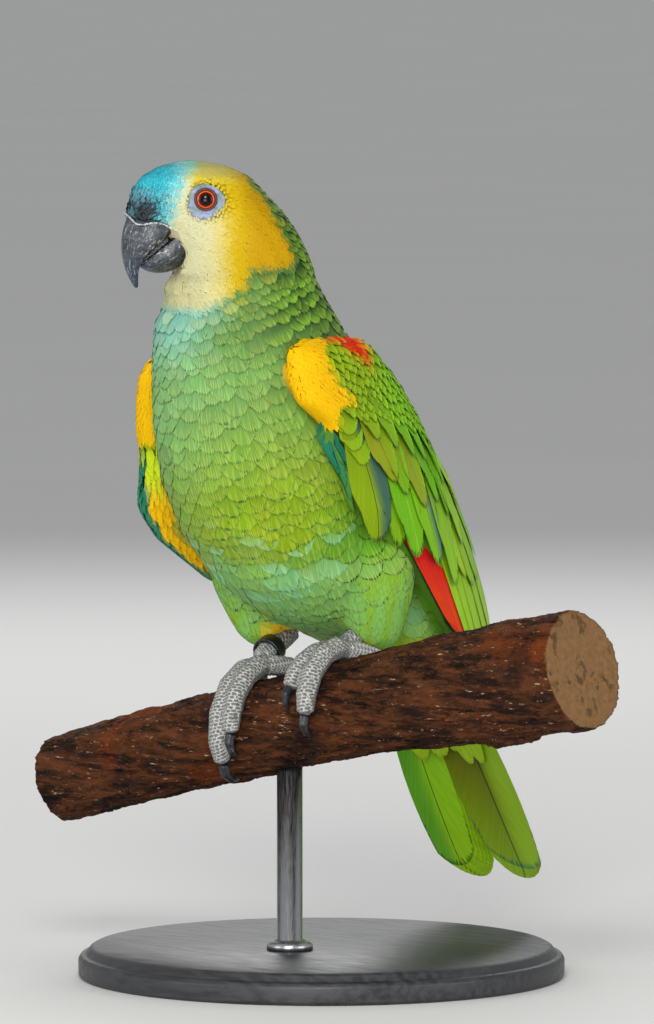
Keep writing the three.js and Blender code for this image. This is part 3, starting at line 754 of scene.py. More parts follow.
def vane_points(tract, surface, rows, columns, tip_round, base_width, thick, ragged):
    """The upper and lower grids of every feather, laid over a surface.

    The shapes run feather by feather, then from root to tip, then across the vane.
    """
    count = len(tract.root)
    part = shaft_parts(rows)
    across = np.linspace(-1, 1, columns)
    spine = np.empty((count, rows, 3))
    ways = np.empty((count, rows, 3))
    if tract.spine is None:
        here, normal = surface.nearest(tract.root)
        way = unit(tract.lie - normal * dot(tract.lie, normal)[:, None])
        for k in range(rows):
            spine[:, k] = here
            ways[:, k] = way
            if k + 1 < rows:
                step = (part[k + 1] - part[k]) * tract.length
                here, normal = surface.nearest(here + way * step[:, None])
                way = unit(way - normal * dot(way, normal)[:, None])
    else:
        spine[:] = tract.spine
        ways[:, 1:-1] = spine[:, 2:] - spine[:, :-2]
        ways[:, 0] = spine[:, 1] - spine[:, 0]
        ways[:, -1] = spine[:, -1] - spine[:, -2]
        ways = unit(ways)
    _, normals = surface.nearest(spine)
    normals[:, 1:-1] = unit(normals[:, :-2] + 2 * normals[:, 1:-1] + normals[:, 2:])
    sides = unit(np.cross(ways, normals))
    open_part = np.minimum(part / 0.6, 1)
    half = base_width + (1 - base_width) * np.sin(open_part * math.pi / 2)
    half = half * (1 - 0.2 * np.maximum(0, (part - 0.6) / 0.4) ** 2)
    pull = tip_round * np.abs(across) ** 2.4
    shorten = part[:, None] ** 2 * pull[None, :]
    reach = half[:, None] * across[None, :]
    flat = (spine[:, :, None, :]
            + sides[:, :, None, :] * (reach[None] * tract.width[:, None, None] / 2)[..., None]
            - ways[:, :, None, :] * (shorten[None] * tract.length[:, None, None])[..., None])
    shake = rng.normal(0, ragged, (count, rows, columns))
    shake[:, : rows // 2] = 0
    flat += ways[:, :, None, :] * (shake * tract.length[:, None, None])[..., None]
    place, normal = surface.nearest(flat)
    lift = tract.low[:, None] + (tract.high - tract.low)[:, None] * part[None, :] ** 1.2
    height = lift[:, :, None] + tract.roll[:, None, None] * across[None, None, :]
    upper = flat + normal * (height - dot(flat - place, normal))[..., None]
    belly = thick * (1 - across[1:-1] ** 2)
    lower = upper[:, 1:-1, 1:-1] - normal[:, 1:-1, 1:-1] * belly[None, None, :, None]
    return upper, lower, part, across


def coat(name, tract, surface, material, rows=6, columns=5, tip_round=0.4,
         base_width=0.5, thick=0.15, ragged=0.02, shade=0.8):
    """One joined mesh of closed feathers."""
    upper, lower, part, across = vane_points(
        tract, surface, rows, columns, tip_round, base_width, thick, ragged)
    count = len(tract.root)
    points = np.concatenate([upper.reshape(count, -1, 3), lower.reshape(count, -1, 3)], axis=1)
    template = vane_template(rows, columns)
    faces = (template[None] + (np.arange(count) * points.shape[1])[:, None, None]).reshape(-1, 4)
    grids = np.indices((rows, columns))
    row_of, column_of = (np.concatenate([g.ravel(), g[1:-1, 1:-1].ravel()]) for g in grids)
    border = (row_of == 0) | (row_of == rows - 1) | (column_of == 0) | (column_of == columns - 1)
    v = part[row_of]
    u = across[column_of] / 2 + 0.5
    fade = smooth(0.35, 1.0, v)[None, :, None]
    tone = tract.tone[:, None, :] * (1 - fade) + tract.tip[:, None, :] * fade
    turned = 0.5 + tract.hand[:, None] * (u - 0.5)[None, :]
    share = (tract.vane[:, 3:] * smooth(0.5, 0.7, turned))[..., None]
    tone = tone * (1 - share) + tract.vane[:, None, :3] * share
    # Painted shade: each feather is darker toward its root, where the feathers above it cover it.
    tone = tone * (shade + (1 - shade) * smooth(0.05, 0.6, v))[None, :, None]

    def spread(colour, share):
        rgba = np.concatenate([colour, share[:, None]], axis=1)
        return np.repeat(rgba[:, None, :], len(v), axis=1).reshape(-1, 4)

    patch = patch_places(tract.root)
    local = np.column_stack([u - 0.5, v - 0.5]) * BAKE_PATCH
    uv = {
        "Vane": np.tile(np.column_stack([u, v]), (count, 1)),
        "OFBake": (patch[:, None, :] + local[None]).reshape(-1, 2),
    }
    attributes = {
        "tone": tone.reshape(-1, 3),
        "rim": spread(tract.rim, tract.rim_share),
        "quill": spread(tract.quill, tract.quill_share),
    }
    mesh = finished(name, points.reshape(-1, 3), faces, material, (), attributes, uv).data
    # The thin outer edges are marked as sharp, so that each face keeps its own clean shading.
    ends = np.empty(len(mesh.edges) * 2, np.int64)
    mesh.edges.foreach_get("vertices", ends)
    sharp = np.tile(border, count)[ends.reshape(-1, 2)].all(axis=1)
    layer = mesh.attributes.new("sharp_edge", "BOOLEAN", "EDGE")
    layer.data.foreach_set("value", sharp)


# ------------------------------------------------------------------ skin

SKIN_VOXEL = 1.5
FOOT_VOXEL = 0.42
SCUTE = (1.25, 1.15)  # a foot scale's size along and round the toe
SCUTE_RISE = 0.3
SCUTE_SEAM = paint(186, 184, 176)
TOE_ARC = 22          # how far the toes' upper side lies from the branch's axis
# Painted shade: the skin under the coat carries the coat's markings made darker.
SKIN_SHADE = 0.7      # the skin's tone beside the coat's
BAKE_PATCH = 0.003
FLESH = ["head", "neck", "trunk", "cere", "thigh_left", "thigh_right",
         *wing_nodes("left"), *wing_nodes("right")]


def coat_depth(points):
    """How deep the skin lies under the tips of the coat: least on the face."""
    return 0.45 + 0.95 * smooth(-14, -34, head_axes(points)[2])


def foot_height(points):
    """Low rounded scutes in staggered rows across toes that wrap round the perch."""
    down = points[:, 2] + PERCH_DROP
    along = points[:, 0] * math.cos(PERCH_SLOPE) + down * math.sin(PERCH_SLOPE)
    lift = down * math.cos(PERCH_SLOPE) - points[:, 0] * math.sin(PERCH_SLOPE)
    radius = np.hypot(lift, points[:, 1])
    row = np.arctan2(points[:, 1], lift) * TOE_ARC / SCUTE[1]
    step = (along + 0.8 * radius) / SCUTE[0] + 0.5 * (np.floor(row) % 2)
    a = np.abs(row % 1 - 0.5) * 2
    b = np.abs(step % 1 - 0.5) * 2
    return smooth(1.0, 0.45, (a ** 3 + b ** 3) ** (1 / 3))


def body_skin():
    points, normals, faces = arrays_of(remeshed(node_copy(FLESH, SWELL), SKIN_VOXEL, 6))
    points = eased(points) - normals * coat_depth(points)[:, None]
    for eye in EYES.values():
        away = points - eye
        out = unit(eye - HEAD_CENTRE - EYE_UP * UP - EYE_FORWARD * HEAD_FORWARD)
        aside = np.linalg.norm(away - out * (away @ out)[:, None], axis=1)
        sink = smooth(7.0, 5.0, aside) * (away @ out > 0)
        points = points - out * (sink * np.maximum(0, away @ out - 1))[:, None]
    return points, faces


def skin_tone(points):
    """The same markings as the coat's, made darker by SKIN_SHADE as painted shade under the coat.
    """
    tone = body_marking(points)
    tone = mix(tone, head_marking(points), smooth(140, 148, points[:, 2]))
    for side in SIDES:
        near = smooth(3.0, 1.0, np.abs(wings[side].depth(points)))
        away = body.depth(points)
        tone = mix(tone, wing_marking(points, side), near * smooth(1.5, 0, away))
    forward, left, up = head_axes(points)
    bare = smooth(17.5, 19.5, forward) * smooth(10, 8.5, up) * smooth(-8, -5, up)
    return mix(tone * SKIN_SHADE, CERE_GREY, bare)


skin_points, skin_faces = body_skin()
bake_shell = Shell(skin_points, np.zeros_like(skin_points) + UP, skin_faces)


def bake_unwrap():
    """An unwrap of the skin's own shape, one place for each of its faces."""
    mesh = bare_mesh("unwrap", skin_points, skin_faces)
    obj = new_object("unwrap", mesh)
    bpy.context.view_layer.objects.active = obj
    obj.select_set(True)
    bpy.ops.object.mode_set(mode="EDIT")
    bpy.ops.mesh.select_all(action="SELECT")
    bpy.ops.uv.smart_project(angle_limit=math.radians(66), island_margin=0.004)
    bpy.ops.object.mode_set(mode="OBJECT")
    layer = mesh.uv_layers.active
    loops = np.empty(len(mesh.loops) * 2)
    layer.data.foreach_get("uv", loops)
    loops = loops.reshape(-1, 2)
    places = np.array([loops[p.loop_start:p.loop_start + p.loop_total].mean(axis=0)
                       for p in mesh.polygons])
    bpy.data.objects.remove(obj)
    return places


unwrap_places = bake_unwrap()


def patch_places(roots):
    found = [bake_shell.tree.find_nearest(Vector(p))[2] for p in roots]
    return np.clip(unwrap_places[found], BAKE_PATCH, 1 - BAKE_PATCH)


def skin_material():
    material, web = new_material("skin")
    tone = web.attribute("tone")
    place = web.place()
    fine = web.noise(place, 2600.0, 3.0)
    patchy = web.noise(place, 700.0)
    colour = web.dimmed(tone.outputs["Color"], web.line(fine, 0.5, 0.75))
    dark = web.mixed(0.5, colour, paint(60, 62, 68))
    share = web.times(web.ramp(patchy, 0.5, 0.7), tone.outputs["Alpha"])
    web.dress(web.mixed(share, colour, dark), 0.6, (fine, 0.4, 0.0002), specular=0.3)
    return material


def foot_mesh(name):
    """A foot at a finer size, with low scales raised all over it."""
    points, normals, faces = arrays_of(remeshed(node_copy([name], 0.1), FOOT_VOXEL, 4))
    height = foot_height(points)
    return points + normals * (SCUTE_RISE * height - 0.22)[:, None], faces, height


def make_skin():
    """Skin of body and feet as one piece; its tone's alpha marks the bare, scaled feet."""
    parts = [(skin_points, skin_faces, skin_tone(skin_points), 0.0)]
    for name in SIDES.values():
        points, faces, height = foot_mesh(f"foot_{name}")
        scute = FOOT_GREY * rng.normal(1, 0.08, (len(points), 1))
        tone = mix(SCUTE_SEAM, scute, smooth(0.05, 0.4, height))
        parts.append((points, faces, tone, 1.0))
    starts = np.cumsum([0] + [len(points) for points, *_ in parts])
    colours = [np.column_stack([tone, np.full(len(tone), bare)]) for _, _, tone, bare in parts]
    finished(
        "skin", np.concatenate([points for points, *_ in parts]),
        np.concatenate([np.array(faces) + start for (_, faces, *_), start in zip(parts, starts)]),
        skin_material(), [*FLESH, "tail", "foot_left", "foot_right"],
        {"tone": np.concatenate(colours)})


make_skin()


# ------------------------------------------------------------------ the head's coat

def scattered(surface, wanted, spacing, tries):
    """Places on a surface no closer to each other than their spacing, a number or a function."""
    corners = surface.points[np.array([f for f in surface.faces if len(f) == 4])]
    corners = corners[wanted(corners.mean(axis=1))]
    diagonals = corners[:, 2:] - corners[:, :2]
    area = np.linalg.norm(np.cross(diagonals[:, 0], diagonals[:, 1]), axis=1)
    pick = rng.choice(len(corners), tries, p=area / area.sum())
    a, b = rng.random((2, tries, 1))
    spots = ((corners[pick, 0] * (1 - a) + corners[pick, 1] * a) * (1 - b)
             + (corners[pick, 3] * (1 - a) + corners[pick, 2] * a) * b)
    gaps = spacing(spots) if callable(spacing) else np.full(tries, spacing)
    cell = float(gaps.max())
    kept = {}
    result = []
    for spot, gap in zip(spots, gaps):
        key = tuple((spot // cell).astype(int))
        near = itertools.product(*[(k - 1, k, k + 1) for k in key])
        others = itertools.chain.from_iterable(kept.get(k, ()) for k in near)
        if not any(np.sum((other - spot) ** 2) < ((gap + wide) / 2) ** 2 for other, wide in others):
            kept.setdefault(key, []).append((spot, gap))
            result.append(spot)
    return np.array(result)


def eye_ring_reach(angle):
    """Half width of the bare ring round the eye, drawn out toward the lower front."""
    drawn = np.maximum(0, np.cos(angle - math.radians(-52))) ** 3
    low = np.maximum(0, -np.sin(angle))
    return 5.15 + 0.65 * np.cos(angle) + 1.05 * np.cos(angle) ** 2 + 0.7 * low + 1.5 * drawn


def past_ring(points):
    """How far points lie outside the eye's bare ring, and their angle round it from ahead."""
    forward, left, up = head_axes(points)
    x = forward - EYE_FORWARD
    y = up - EYE_UP
    angle = np.arctan2(y, x)
    return np.hypot(x, y) - eye_ring_reach(angle), angle


BILL_ROOT = head_point(24, 0, -2)
LIP = [(32.5, 2.2), (28.2, -1.9), (21, -0.2), (17.2, -1.8), (14, -4.4), (12, -8), (10.6, -18),
       (13, -21.5), (40, -30), (40, 2.2)]


def is_feathered(points):
    forward, left, up = head_axes(points)
    bare = inside(LIP, forward, up, 0.4) > 0.5
    outside, angle = past_ring(points)
    close = 0.3 + 1.1 * np.cos(angle - math.radians(150))
    return ~bare & ~((outside < -close) & (np.abs(left) > 10))


def head_lie(points):
    """Feathers stream back from the bill and turn down behind the head."""
    away = unit(points - BILL_ROOT)
    down = smooth(4, -22, head_axes(points)[0])[:, None] * np.array([0, 0.12, -1.0])
    return unit(away + 1.6 * down)


def head_tract():
    """The velvet of face, crown and forehead: very small tufts."""

    def wanted(spots):
        forward, left, up = head_axes(spots)
        plain = np.maximum(inside(FACE, forward, up, 3), inside(FOREHEAD, forward, up, 3))
        hole = from_nostril(forward, up) < 1.7
        return is_feathered(spots) & (plain > 0.12) & ~hole

    def spacing(spots):
        far = np.linalg.norm(spots - BILL_ROOT, axis=1)
        return 0.72 + 0.4 * smooth(10, 46, far)

    roots = scattered(whole_head, wanted, spacing, 60000)
    gap = spacing(roots)
    count = len(roots)
    forward, left, up = head_axes(roots)
    fore = inside(FOREHEAD, forward, up, 1.5)
    tone = head_marking(roots + rng.normal(0, 1, (count, 3)) * (0.55 + 0.35 * fore)[:, None])
    tone = tone * rng.normal(1, 0.018 + 0.07 * fore)[:, None]
    lie = head_lie(roots) + rng.normal(0, 0.03, (count, 3))
    near = smooth(4.0, 1.0, past_ring(roots)[0]) * (np.abs(left) > 10)
    return Tract(
        roots, lie, gap * 3.4 * (1 - 0.7 * near), gap * (1.9 - 0.5 * near), tone, tip=tone * 1.02,
        rim=paint(20, 80, 92), rim_share=0.7 * fore, low=-0.2,
        high=0.015 + 0.02 * rng.random(count))


# ------------------------------------------------------------------ the body's coat

# The body's middle line from the crown to the tail, and the gaps between its rows of feathers and
# between the feathers of a row, by the share of that line.
AXIS = [(-6, -50, 186), (-5, -42, 173), (-3, -36, 158), (0, -30, 143), (0, -23, 125), (0, -13, 104),
        (0, -3, 84), (0, 6, 64), (0, 20, 45), (0, 38, 27), (0, 58, 12), (0, 78, -3), (0, 92, -18)]
ROW_GAPS = [(0, 3.2), (0.15, 3.5), (0.25, 4.6), (0.5, 5.2), (0.7, 5.4), (1, 7.0)]
FEATHER_GAPS = [(0, 4.2), (0.15, 4.8), (0.25, 6.8), (0.5, 8.0), (0.7, 8.4), (1, 9.5)]


def stations():
    """Rows down the body: their share of the way, place and direction."""
    line = along_line(AXIS, np.linspace(0, 1, 400))
    length = np.linalg.norm(np.diff(line, axis=0), axis=1).sum()
    shares = [0.0]
    while shares[-1] < 1:
        gap = np.interp(shares[-1], *zip(*ROW_GAPS))
        shares.append(shares[-1] + gap / length)
    shares = np.array(shares[:-1])
    places = along_line(AXIS, shares)
    ahead = along_line(AXIS, np.minimum(shares + 0.03, 1))
    behind = along_line(AXIS, np.maximum(shares - 0.03, 0))
    return shares, places, unit(ahead - behind)


def body_tract():
    roots, lies, sizes = [], [], []
    fine = np.linspace(0, 2 * math.pi, 97)
    for k, (share, place, way) in enumerate(zip(*stations())):
        left = unit(np.array([1.0, 0, 0]) - way * way[0])
        front = np.cross(way, left)
        rays = np.outer(np.cos(fine), front) + np.outer(np.sin(fine), left)
        found = torso.shot(np.repeat(place[None], len(fine), 0), rays)
        good = ~np.isnan(found[:, 0])
        if good.sum() < 10:
            continue
        found = found[good]
        reach = np.concatenate([[0], np.cumsum(np.linalg.norm(np.diff(found, axis=0), axis=1))])
        gap = np.interp(share, *zip(*FEATHER_GAPS))
        many = max(6, int(reach[-1] / gap))
        spots = (np.arange(many) + 0.5 * (k % 2)) / many * reach[-1]
        spots = np.clip(spots + rng.normal(0, 0.11 * gap, many), 0, reach[-1])
        roots.append(np.stack([np.interp(spots, reach, found[:, a]) for a in range(3)], -1))
        lies.append(np.repeat(way[None], many, 0))
        sizes.append(gap * rng.normal(1.04, 0.07, many))
    root, lie, gap = map(np.concatenate, (roots, lies, sizes))
    root = root + lie * rng.normal(0, 0.65, (len(root), 1))
    keep = np.ones(len(root), bool)
    x, y, z = root.T
    for side in SIDES:
        deep = wings[side].depth(root)
        keep &= deep < 5.0
        keep &= ~((np.abs(thighs[side].depth(root)) < 2.5) & (z < 42))
        keep &= ~((x * side > 24) & (deep > -2) & (inside(SHOULDER[side], y, z, 1.0) > 0.5))
        behind = y > edge_at(FRONT_EDGE, z) + 4
        keep &= ~((x * side > 22) & behind & (deep > -5) & (z > 58) & (z < 110))
    forward, left, up = head_axes(root)
    plain = np.maximum(inside(FACE, forward, up, 1.5), inside(FOREHEAD, forward, up, 1.5))
    keep &= ~((up > -36) & (plain > 0.45)) & (is_feathered(root) | (up < -24))
    return root[keep], lie[keep], gap[keep]


def dressed_body():
    root, lie, gap = body_tract()
    count = len(root)
    high = smooth(138, 150, root[:, 2])
    tone = mix(body_marking(root), head_marking(root), high)
    tone = tone * rng.normal(1, 0.055, (count, 1)) * (1 + rng.normal(0, 0.03, (count, 3)))
    back = smooth(0, 24, root[:, 1] + 4 - 0.42 * (root[:, 2] - 100))
    nape = smooth(-10, -24, head_axes(root)[0]) * smooth(128, 150, root[:, 2])
    tip = mix(tone, paint(176, 196, 66), 0.1)
    belly = smooth(70, 36, root[:, 2])
    spark = rng.random(count) * smooth(88, 56, root[:, 2]) * (1 - back)
    tip = mix(tip, paint(134, 200, 160), 0.5 * smooth(0.35, 0.9, spark))
    tip = mix(tip, paint(124, 178, 44) * rng.uniform(0.25, 1.0, (count, 1)), 0.7 * nape)
    tone = mix(tone, tone * 0.3, 0.85 * nape)
    share = np.clip(0.62 + 0.3 * back - 0.3 * belly + rng.normal(0, 0.2, count), 0.08, 1)
    rim = mix(paint(24, 80, 46), DARK_RIM, np.maximum(back, nape))
    return Tract(
        root, lie + rng.normal(0, 0.045, (count, 3)), gap * (1.75 + 0.3 * belly), gap * 1.65, tone,
        tip=tip, rim=rim, rim_share=share, roll=0.06 * np.sign(root[:, 0]), low=-0.6,
        high=0.02 + 0.06 * rng.random(count) + 0.35 * nape)


# ------------------------------------------------------------------ the thighs' coat

def thigh_tract(side):
    """Long soft feathers that hang over the leg."""

    def wanted(spots):
        near = np.abs(thighs[side].depth(spots)) < 2.4
        return near & (spots[:, 2] < 48) & (spots[:, 0] * side > 2)

    root = scattered(torso, wanted, 2.0, 12000)
    count = len(root)
    tone = thigh_marking(root - np.array([0, 0, 4.0]), side) * rng.normal(1, 0.02, (count, 1))
    lie = [-side * 0.12, 0.08, -1.0] + rng.normal(0, 0.02, (count, 3))
    hem = smooth(root[:, 2].min() + 14, root[:, 2].min() + 2, root[:, 2])
    return Tract(root, lie, 13 - 7 * hem, 4.2 - 1.6 * hem, tone, tip=tone * 1.03,
                 rim_share=0.3 * smooth(34, 42, root[:, 2]), low=-0.4,
                 high=0.04 + 0.06 * rng.random(count))


# ------------------------------------------------------------------ wings

PLAN_ROWS = 9


def plan_tract(side, plan, tone, surface, **more):
    """Large feathers laid on a wing's outer face, from a plan in its side view.

    The plan has one row for each: root (back, up), tip (back, up) and width.
    """
    plan = np.array(plan, float)
    start, end = plan[:, 0:2], plan[:, 2:4]
    part = shaft_parts(PLAN_ROWS)
    flat = (start[:, None] + (end - start)[:, None] * part[None, :, None]).reshape(-1, 2)
    starts, found = side_shot(surface, side, flat)
    missed = np.isnan(found[:, 0])
    if missed.any():
        guess = starts[missed]
        guess[:, 0] = side * 30
        found[missed] = surface.nearest(guess)[0]
    spine = found.reshape(len(plan), PLAN_ROWS, 3)
    length = np.linalg.norm(np.diff(spine, axis=1), axis=2).sum(axis=1)
    count = len(plan)
    shade = rng.normal(1, 0.04, (count, 1))
    return Tract(spine[:, 0], spine[:, -1] - spine[:, 0], length, plan[:, 4],
                 np.broadcast_to(tone, (count, 3)) * shade, spine=spine, hand=-side, **more)


def run_of(roots, tips, widths, count):
    """A plan of evenly spread feathers between two lines."""
    parts = np.linspace(0, 1, count)
    return np.column_stack([along_line(roots, parts), along_line(tips, parts),
                            np.interp(parts, [0, 1], widths)])


def blend_line(colours, count):
    """Colours that run evenly through a short list."""
    return along_line(colours, np.linspace(0, 1, count))


def flight_feathers(side):
    """Primaries, secondaries with the red patch, tertials: the long feathers of one wing."""
    face = sheets[side]
    dark = {"quill": paint(10, 18, 12), "quill_share": 0.9, "roll": 0.4 * side}
    pale = {"quill": paint(196, 204, 70), "quill_share": 0.7, "roll": 0.25 * side}
    primaries = plan_tract(
        side, run_of([(-9, 77), (24, 64)], [(61, 13), (96, -12), (122, -26)], (10, 12), 9),
        blend_line([TEAL * 0.35, paint(24, 84, 46), paint(46, 104, 48)], 9), face, rim_share=0.5,
        low=-2.6, high=-1.9, vane=[*SLATE, 0.8], **dark)
    reds = plan_tract(
        side, run_of([(-10, 79), (14, 76)], [(60, 14.5), (69, 10)], (10.5, 12), 6), RED, face,
        tip=paint(226, 66, 8), rim=RED * 0.35, rim_share=0.35, roll=0.4 * side, low=-1.6, high=-0.7,
        vane=[*RED * 0.75, 0.3], quill=RED * 0.5, quill_share=0.4)
    greens = plan_tract(
        side, run_of([(18, 84), (50, 88)], [(76, 10), (90, 5), (105, 10)], (18, 18), 5),
        blend_line([LIGHT_GREEN, paint(124, 178, 20)], 5), face, rim_share=0.3, low=-1.4, high=-0.3,
        vane=[*OLIVE, 0.3], tip=paint(146, 192, 26), **pale)
    tertials = plan_tract(
        side, run_of([(30, 96), (46, 102)], [(64, 36), (79, 29), (88, 42)], (17, 17), 4),
        blend_line([LIGHT_GREEN, paint(116, 172, 24)], 4), face, rim_share=0.4, low=-0.9, high=0.1,
        vane=[*WING_GREEN, 0.4], **pale)
    return Tract.joined([primaries, reds, greens, tertials])


def greater_coverts(side):
    """The big feathers that hang over the red patch."""
    plan = [(-23, 100, -1, 53.4, 18.5), (-12, 98, 10, 51, 15), (-3, 98, 20.5, 46.5, 17.5),
            (11, 97, 35.5, 42.5, 17.5), (26, 96, 51, 33, 17), (36, 98, 60, 48, 15),
            (42, 100, 66, 62, 13)]
    olive = blend_line([OLIVE, WING_GREEN, LIGHT_GREEN], 7)
    slate = np.array([[*SLATE, share] for share in (0, 0, 0, 0.9, 0.1, 0.1, 0.1)])
    slate[0] = [*mix(SLATE * 0.5, TEAL, 0.3), 0.9]
    dark, pale = paint(8, 16, 8), paint(190, 200, 70)
    low = np.full(7, -0.9)
    low[1] = -1.7
    return plan_tract(
        side, plan, olive, sheets[side], rim_share=0.8, roll=0.4 * side, low=low, high=low + 1.8,
        vane=slate, tip=olive * 1.08, quill=[dark, pale, pale, dark, pale, pale, pale],
        quill_share=[1, 0.3, 0.7, 0.9, 0.6, 0.5, 0.5])


def median_coverts(side):
    """Two rows between the small scales and the big feathers."""
    plan = [(-26, 106, -24, 95.5, 12), (-25, 103, -20.5, 89.2, 13), (-25, 105, -15.3, 83.4, 14),
            (-15, 106, 2.6, 76.3, 15.5), (-3, 101, 10, 71, 14), (6, 101, 24.3, 65.3, 15),
            (18, 104, 36, 66, 12), (28, 106, 46, 60, 11.5), (34, 107, 48, 72, 11),
            (-18, 113, -8, 93, 11), (-7, 114, 5, 89, 11), (4, 113, 19, 85, 11),
            (14, 113, 30, 83, 10.5), (22, 113, 38, 86, 10)]
    count = len(plan)
    tone = mix(OLIVE, WING_GREEN, smooth(-25, 20, np.array(plan)[:, 0]))
    tone[[3, 5]] = paint(128, 140, 20), paint(130, 146, 22)
    quills = np.full(count, 0.25)
    quills[[3, 5]] = 0.9, 0.6
    low = np.full(count, -1.0)
    low[:3] = -1.8
    return plan_tract(
        side, plan, tone, sheets[side], rim_share=0.7, roll=0.3 * side, low=low, high=low + 1.8,
        tip=tone * 1.1, vane=[*WING_GREEN, 0.35], quill=paint(16, 30, 12), quill_share=quills)


def front_strip(side):
    """Narrow blue-green feathers that close the gap between the wing and the flank."""
    return plan_tract(
        side, run_of([(-35, 104), (-30, 97)], [(-20, 80), (-10, 64)], (4.5, 5), 4),
        blend_line([TEAL, paint(60, 130, 70), paint(96, 146, 56)], 4), cloak_shell, rim_share=0.5,
        roll=0.3 * side, low=-0.2, high=0.8)


def hanging(back, spread, count):
    """Ways to lie for small feathers that hang down and lean back, each a little off."""
    return [0.0, back, -1.0] + rng.normal(0, spread, (count, 3))


def lesser_coverts(side):
    """Rows of small scales from the shoulder down to the median coverts."""
    surface = wings[side]

    def wanted(spots):
        x, y, z = spots.T
        outer = surface.nearest(spots)[1][:, 0] * side > -0.35
        small = z > np.interp(y, [-50, -30, -14, 8, 34, 60], [96, 108, 106, 103, 98, 84])
        yellow = inside(SHOULDER[side], y, z, 2) > 0.85
        return outer & small & ~yellow & (body.depth(spots) < 2)

    root = scattered(surface, wanted, 3.3, 9000)
    count = len(root)
    hung = root + np.array([0, 1.6, -3.2])
    x, y, z = hung.T
    tone = wing_marking(hung, side) * rng.normal(1, 0.06, (count, 1))
    edge = inside(SHOULDER_EDGE, y, z, 3)
    yellow = inside(SHOULDER[side], y, z, 2)
    lie = hanging(0.52, 0.05, count)
    share = np.clip(0.9 - 0.85 * yellow - 0.5 * edge, 0.03, 1)
    tip = mix(tone * 1.06, LIGHT_GREEN, 0.3 * (1 - edge) * (1 - yellow))
    return Tract(root, lie, 8.2, 5.6, tone, tip=tip, rim_share=share,
                 low=-0.7, high=0.25 + 0.2 * rng.random(count))


def shoulder_velvet(side):
    """The smooth yellow bend of the wing with its orange upper edge."""
    surface = wings[side]
    hang = np.array([0, 1.2, -2.2])

    def wanted(spots):
        x, y, z = (spots + hang).T
        yellow = np.maximum(inside(SHOULDER[side], y, z, 1.5), inside(SHOULDER_EDGE, y, z, 1.5))
        return (yellow > 0.4) & (body.depth(spots) < 1.5)

    root = scattered(surface, wanted, 1.2, 16000)
    count = len(root)
    tone = wing_marking(root + hang + rng.normal(0, 0.6, (count, 3)), side)
    lie = hanging(0.55, 0.02, count)
    length = 4.8 - 1.8 * inside(SHOULDER_EDGE, root[:, 1], root[:, 2], 3)
    return Tract(root, lie, length, 2.6, tone * rng.normal(1, 0.015, (count, 1)), rim_share=0.0,
                 low=0.05, high=0.25 + 0.04 * rng.random(count))


def front_coverts(side):
    """Small feathers that wrap the wing's front edge, between its bend and the flank."""
    surface = wings[side]

    def wanted(spots):
        x, y, z = spots.T
        normal = surface.nearest(spots)[1]
        outward = normal[:, 0] * side
        if side > 0:
            rim = (normal[:, 1] < -0.2) & (outward < 0.2) & (z > 74)
        else:
            rim = (normal[:, 1] < -0.05) & (outward < 0.9) & (z > 28)
        yellow = inside(SHOULDER[side], y, z, 2) > 0.6
        return rim & ~yellow & (z < 108) & (body.depth(spots) < 2)

    root = scattered(surface, wanted, 2.1, 9000)
    count = len(root)
    x, y, z = root.T
    normal = surface.nearest(root)[1]
    levels = np.arange(28, 112, 4)
    slant = np.array([0.788 * side, -0.616, 0])
    reach = surface.points @ slant
    widest = [reach[np.abs(surface.points[:, 2] - level) < 3].max() for level in levels]
    outside = np.interp(z, levels, widest) - root @ slant
    broad = np.interp(z, [40, 52, 64, 84], [9, 7, 4.5, 2.0])
    rim = np.maximum(smooth(0.6, -0.4, outside - broad) * smooth(90, 84, z), smooth(46, 38, z))
    rim = rim if side < 0 else np.ones(count)
    blot = smooth(9, 4, np.hypot(z - 60, 1.4 * (np.abs(x) - 40)))
    tongue = mix(SHOULDER_YELLOW, paint(176, 196, 24), smooth(68, 82, z) * smooth(100, 90, z))
    tongue = mix(tongue, paint(40, 116, 52), 0.8 * blot)
    tone = mix(tongue, TEAL, rim) * rng.normal(1, 0.04, (count, 1))
    lie = hanging(0.5, 0.04, count)
    return Tract(root, lie, 9.0, 3.4, tone, rim_share=0.1, low=-0.8,
                 high=-0.1 if side < 0 else -0.8)


def back_tract():
    """Mantle and scapulars that run from the body over the wings' rear edges."""

    def wanted(spots):
        x, y, z = spots.T
        limit = np.interp(z, [20, 60, 100, 135], [10, 16, 24, 34])
        behind = y > np.interp(z, [20, 50, 80, 100, 120, 135], [60, 48, 26, 10, -4, -16])
        return (np.abs(x) < limit) & behind & (z < 136) & (z > 24)

    def spacing(spots):
        return np.interp(spots[:, 2], [30, 90, 135], [7.5, 6.2, 4.6])

    root = scattered(cloak_shell, wanted, spacing, 9000)
    gap = spacing(root)
    count = len(root)
    tone = BACK * rng.normal(1, 0.07, (count, 1))
    tone = mix(tone, NAPE_GREEN, smooth(110, 135, root[:, 2]))
    lie = np.column_stack([root[:, 0] * -0.004, np.full(count, 0.75), np.full(count, -1.0)])
    return Tract(root, lie, gap * 2.5, gap * 1.6, tone, tip=tone * 1.25, rim_share=0.85,
                 low=-1.6, high=0.5 + 0.3 * rng.random(count))


# ------------------------------------------------------------------ tail

TAIL_BASE = np.array([0.0, 84.0, -2.0])
TAIL_WAY = unit(np.array([0.0, 61.0, -92.0]))
TAIL_TOP = np.array([0.0, 0.834, 0.552])
TAIL_ARCH = 5.0
TAIL_HALF = 28
TAIL_ROWS = 12


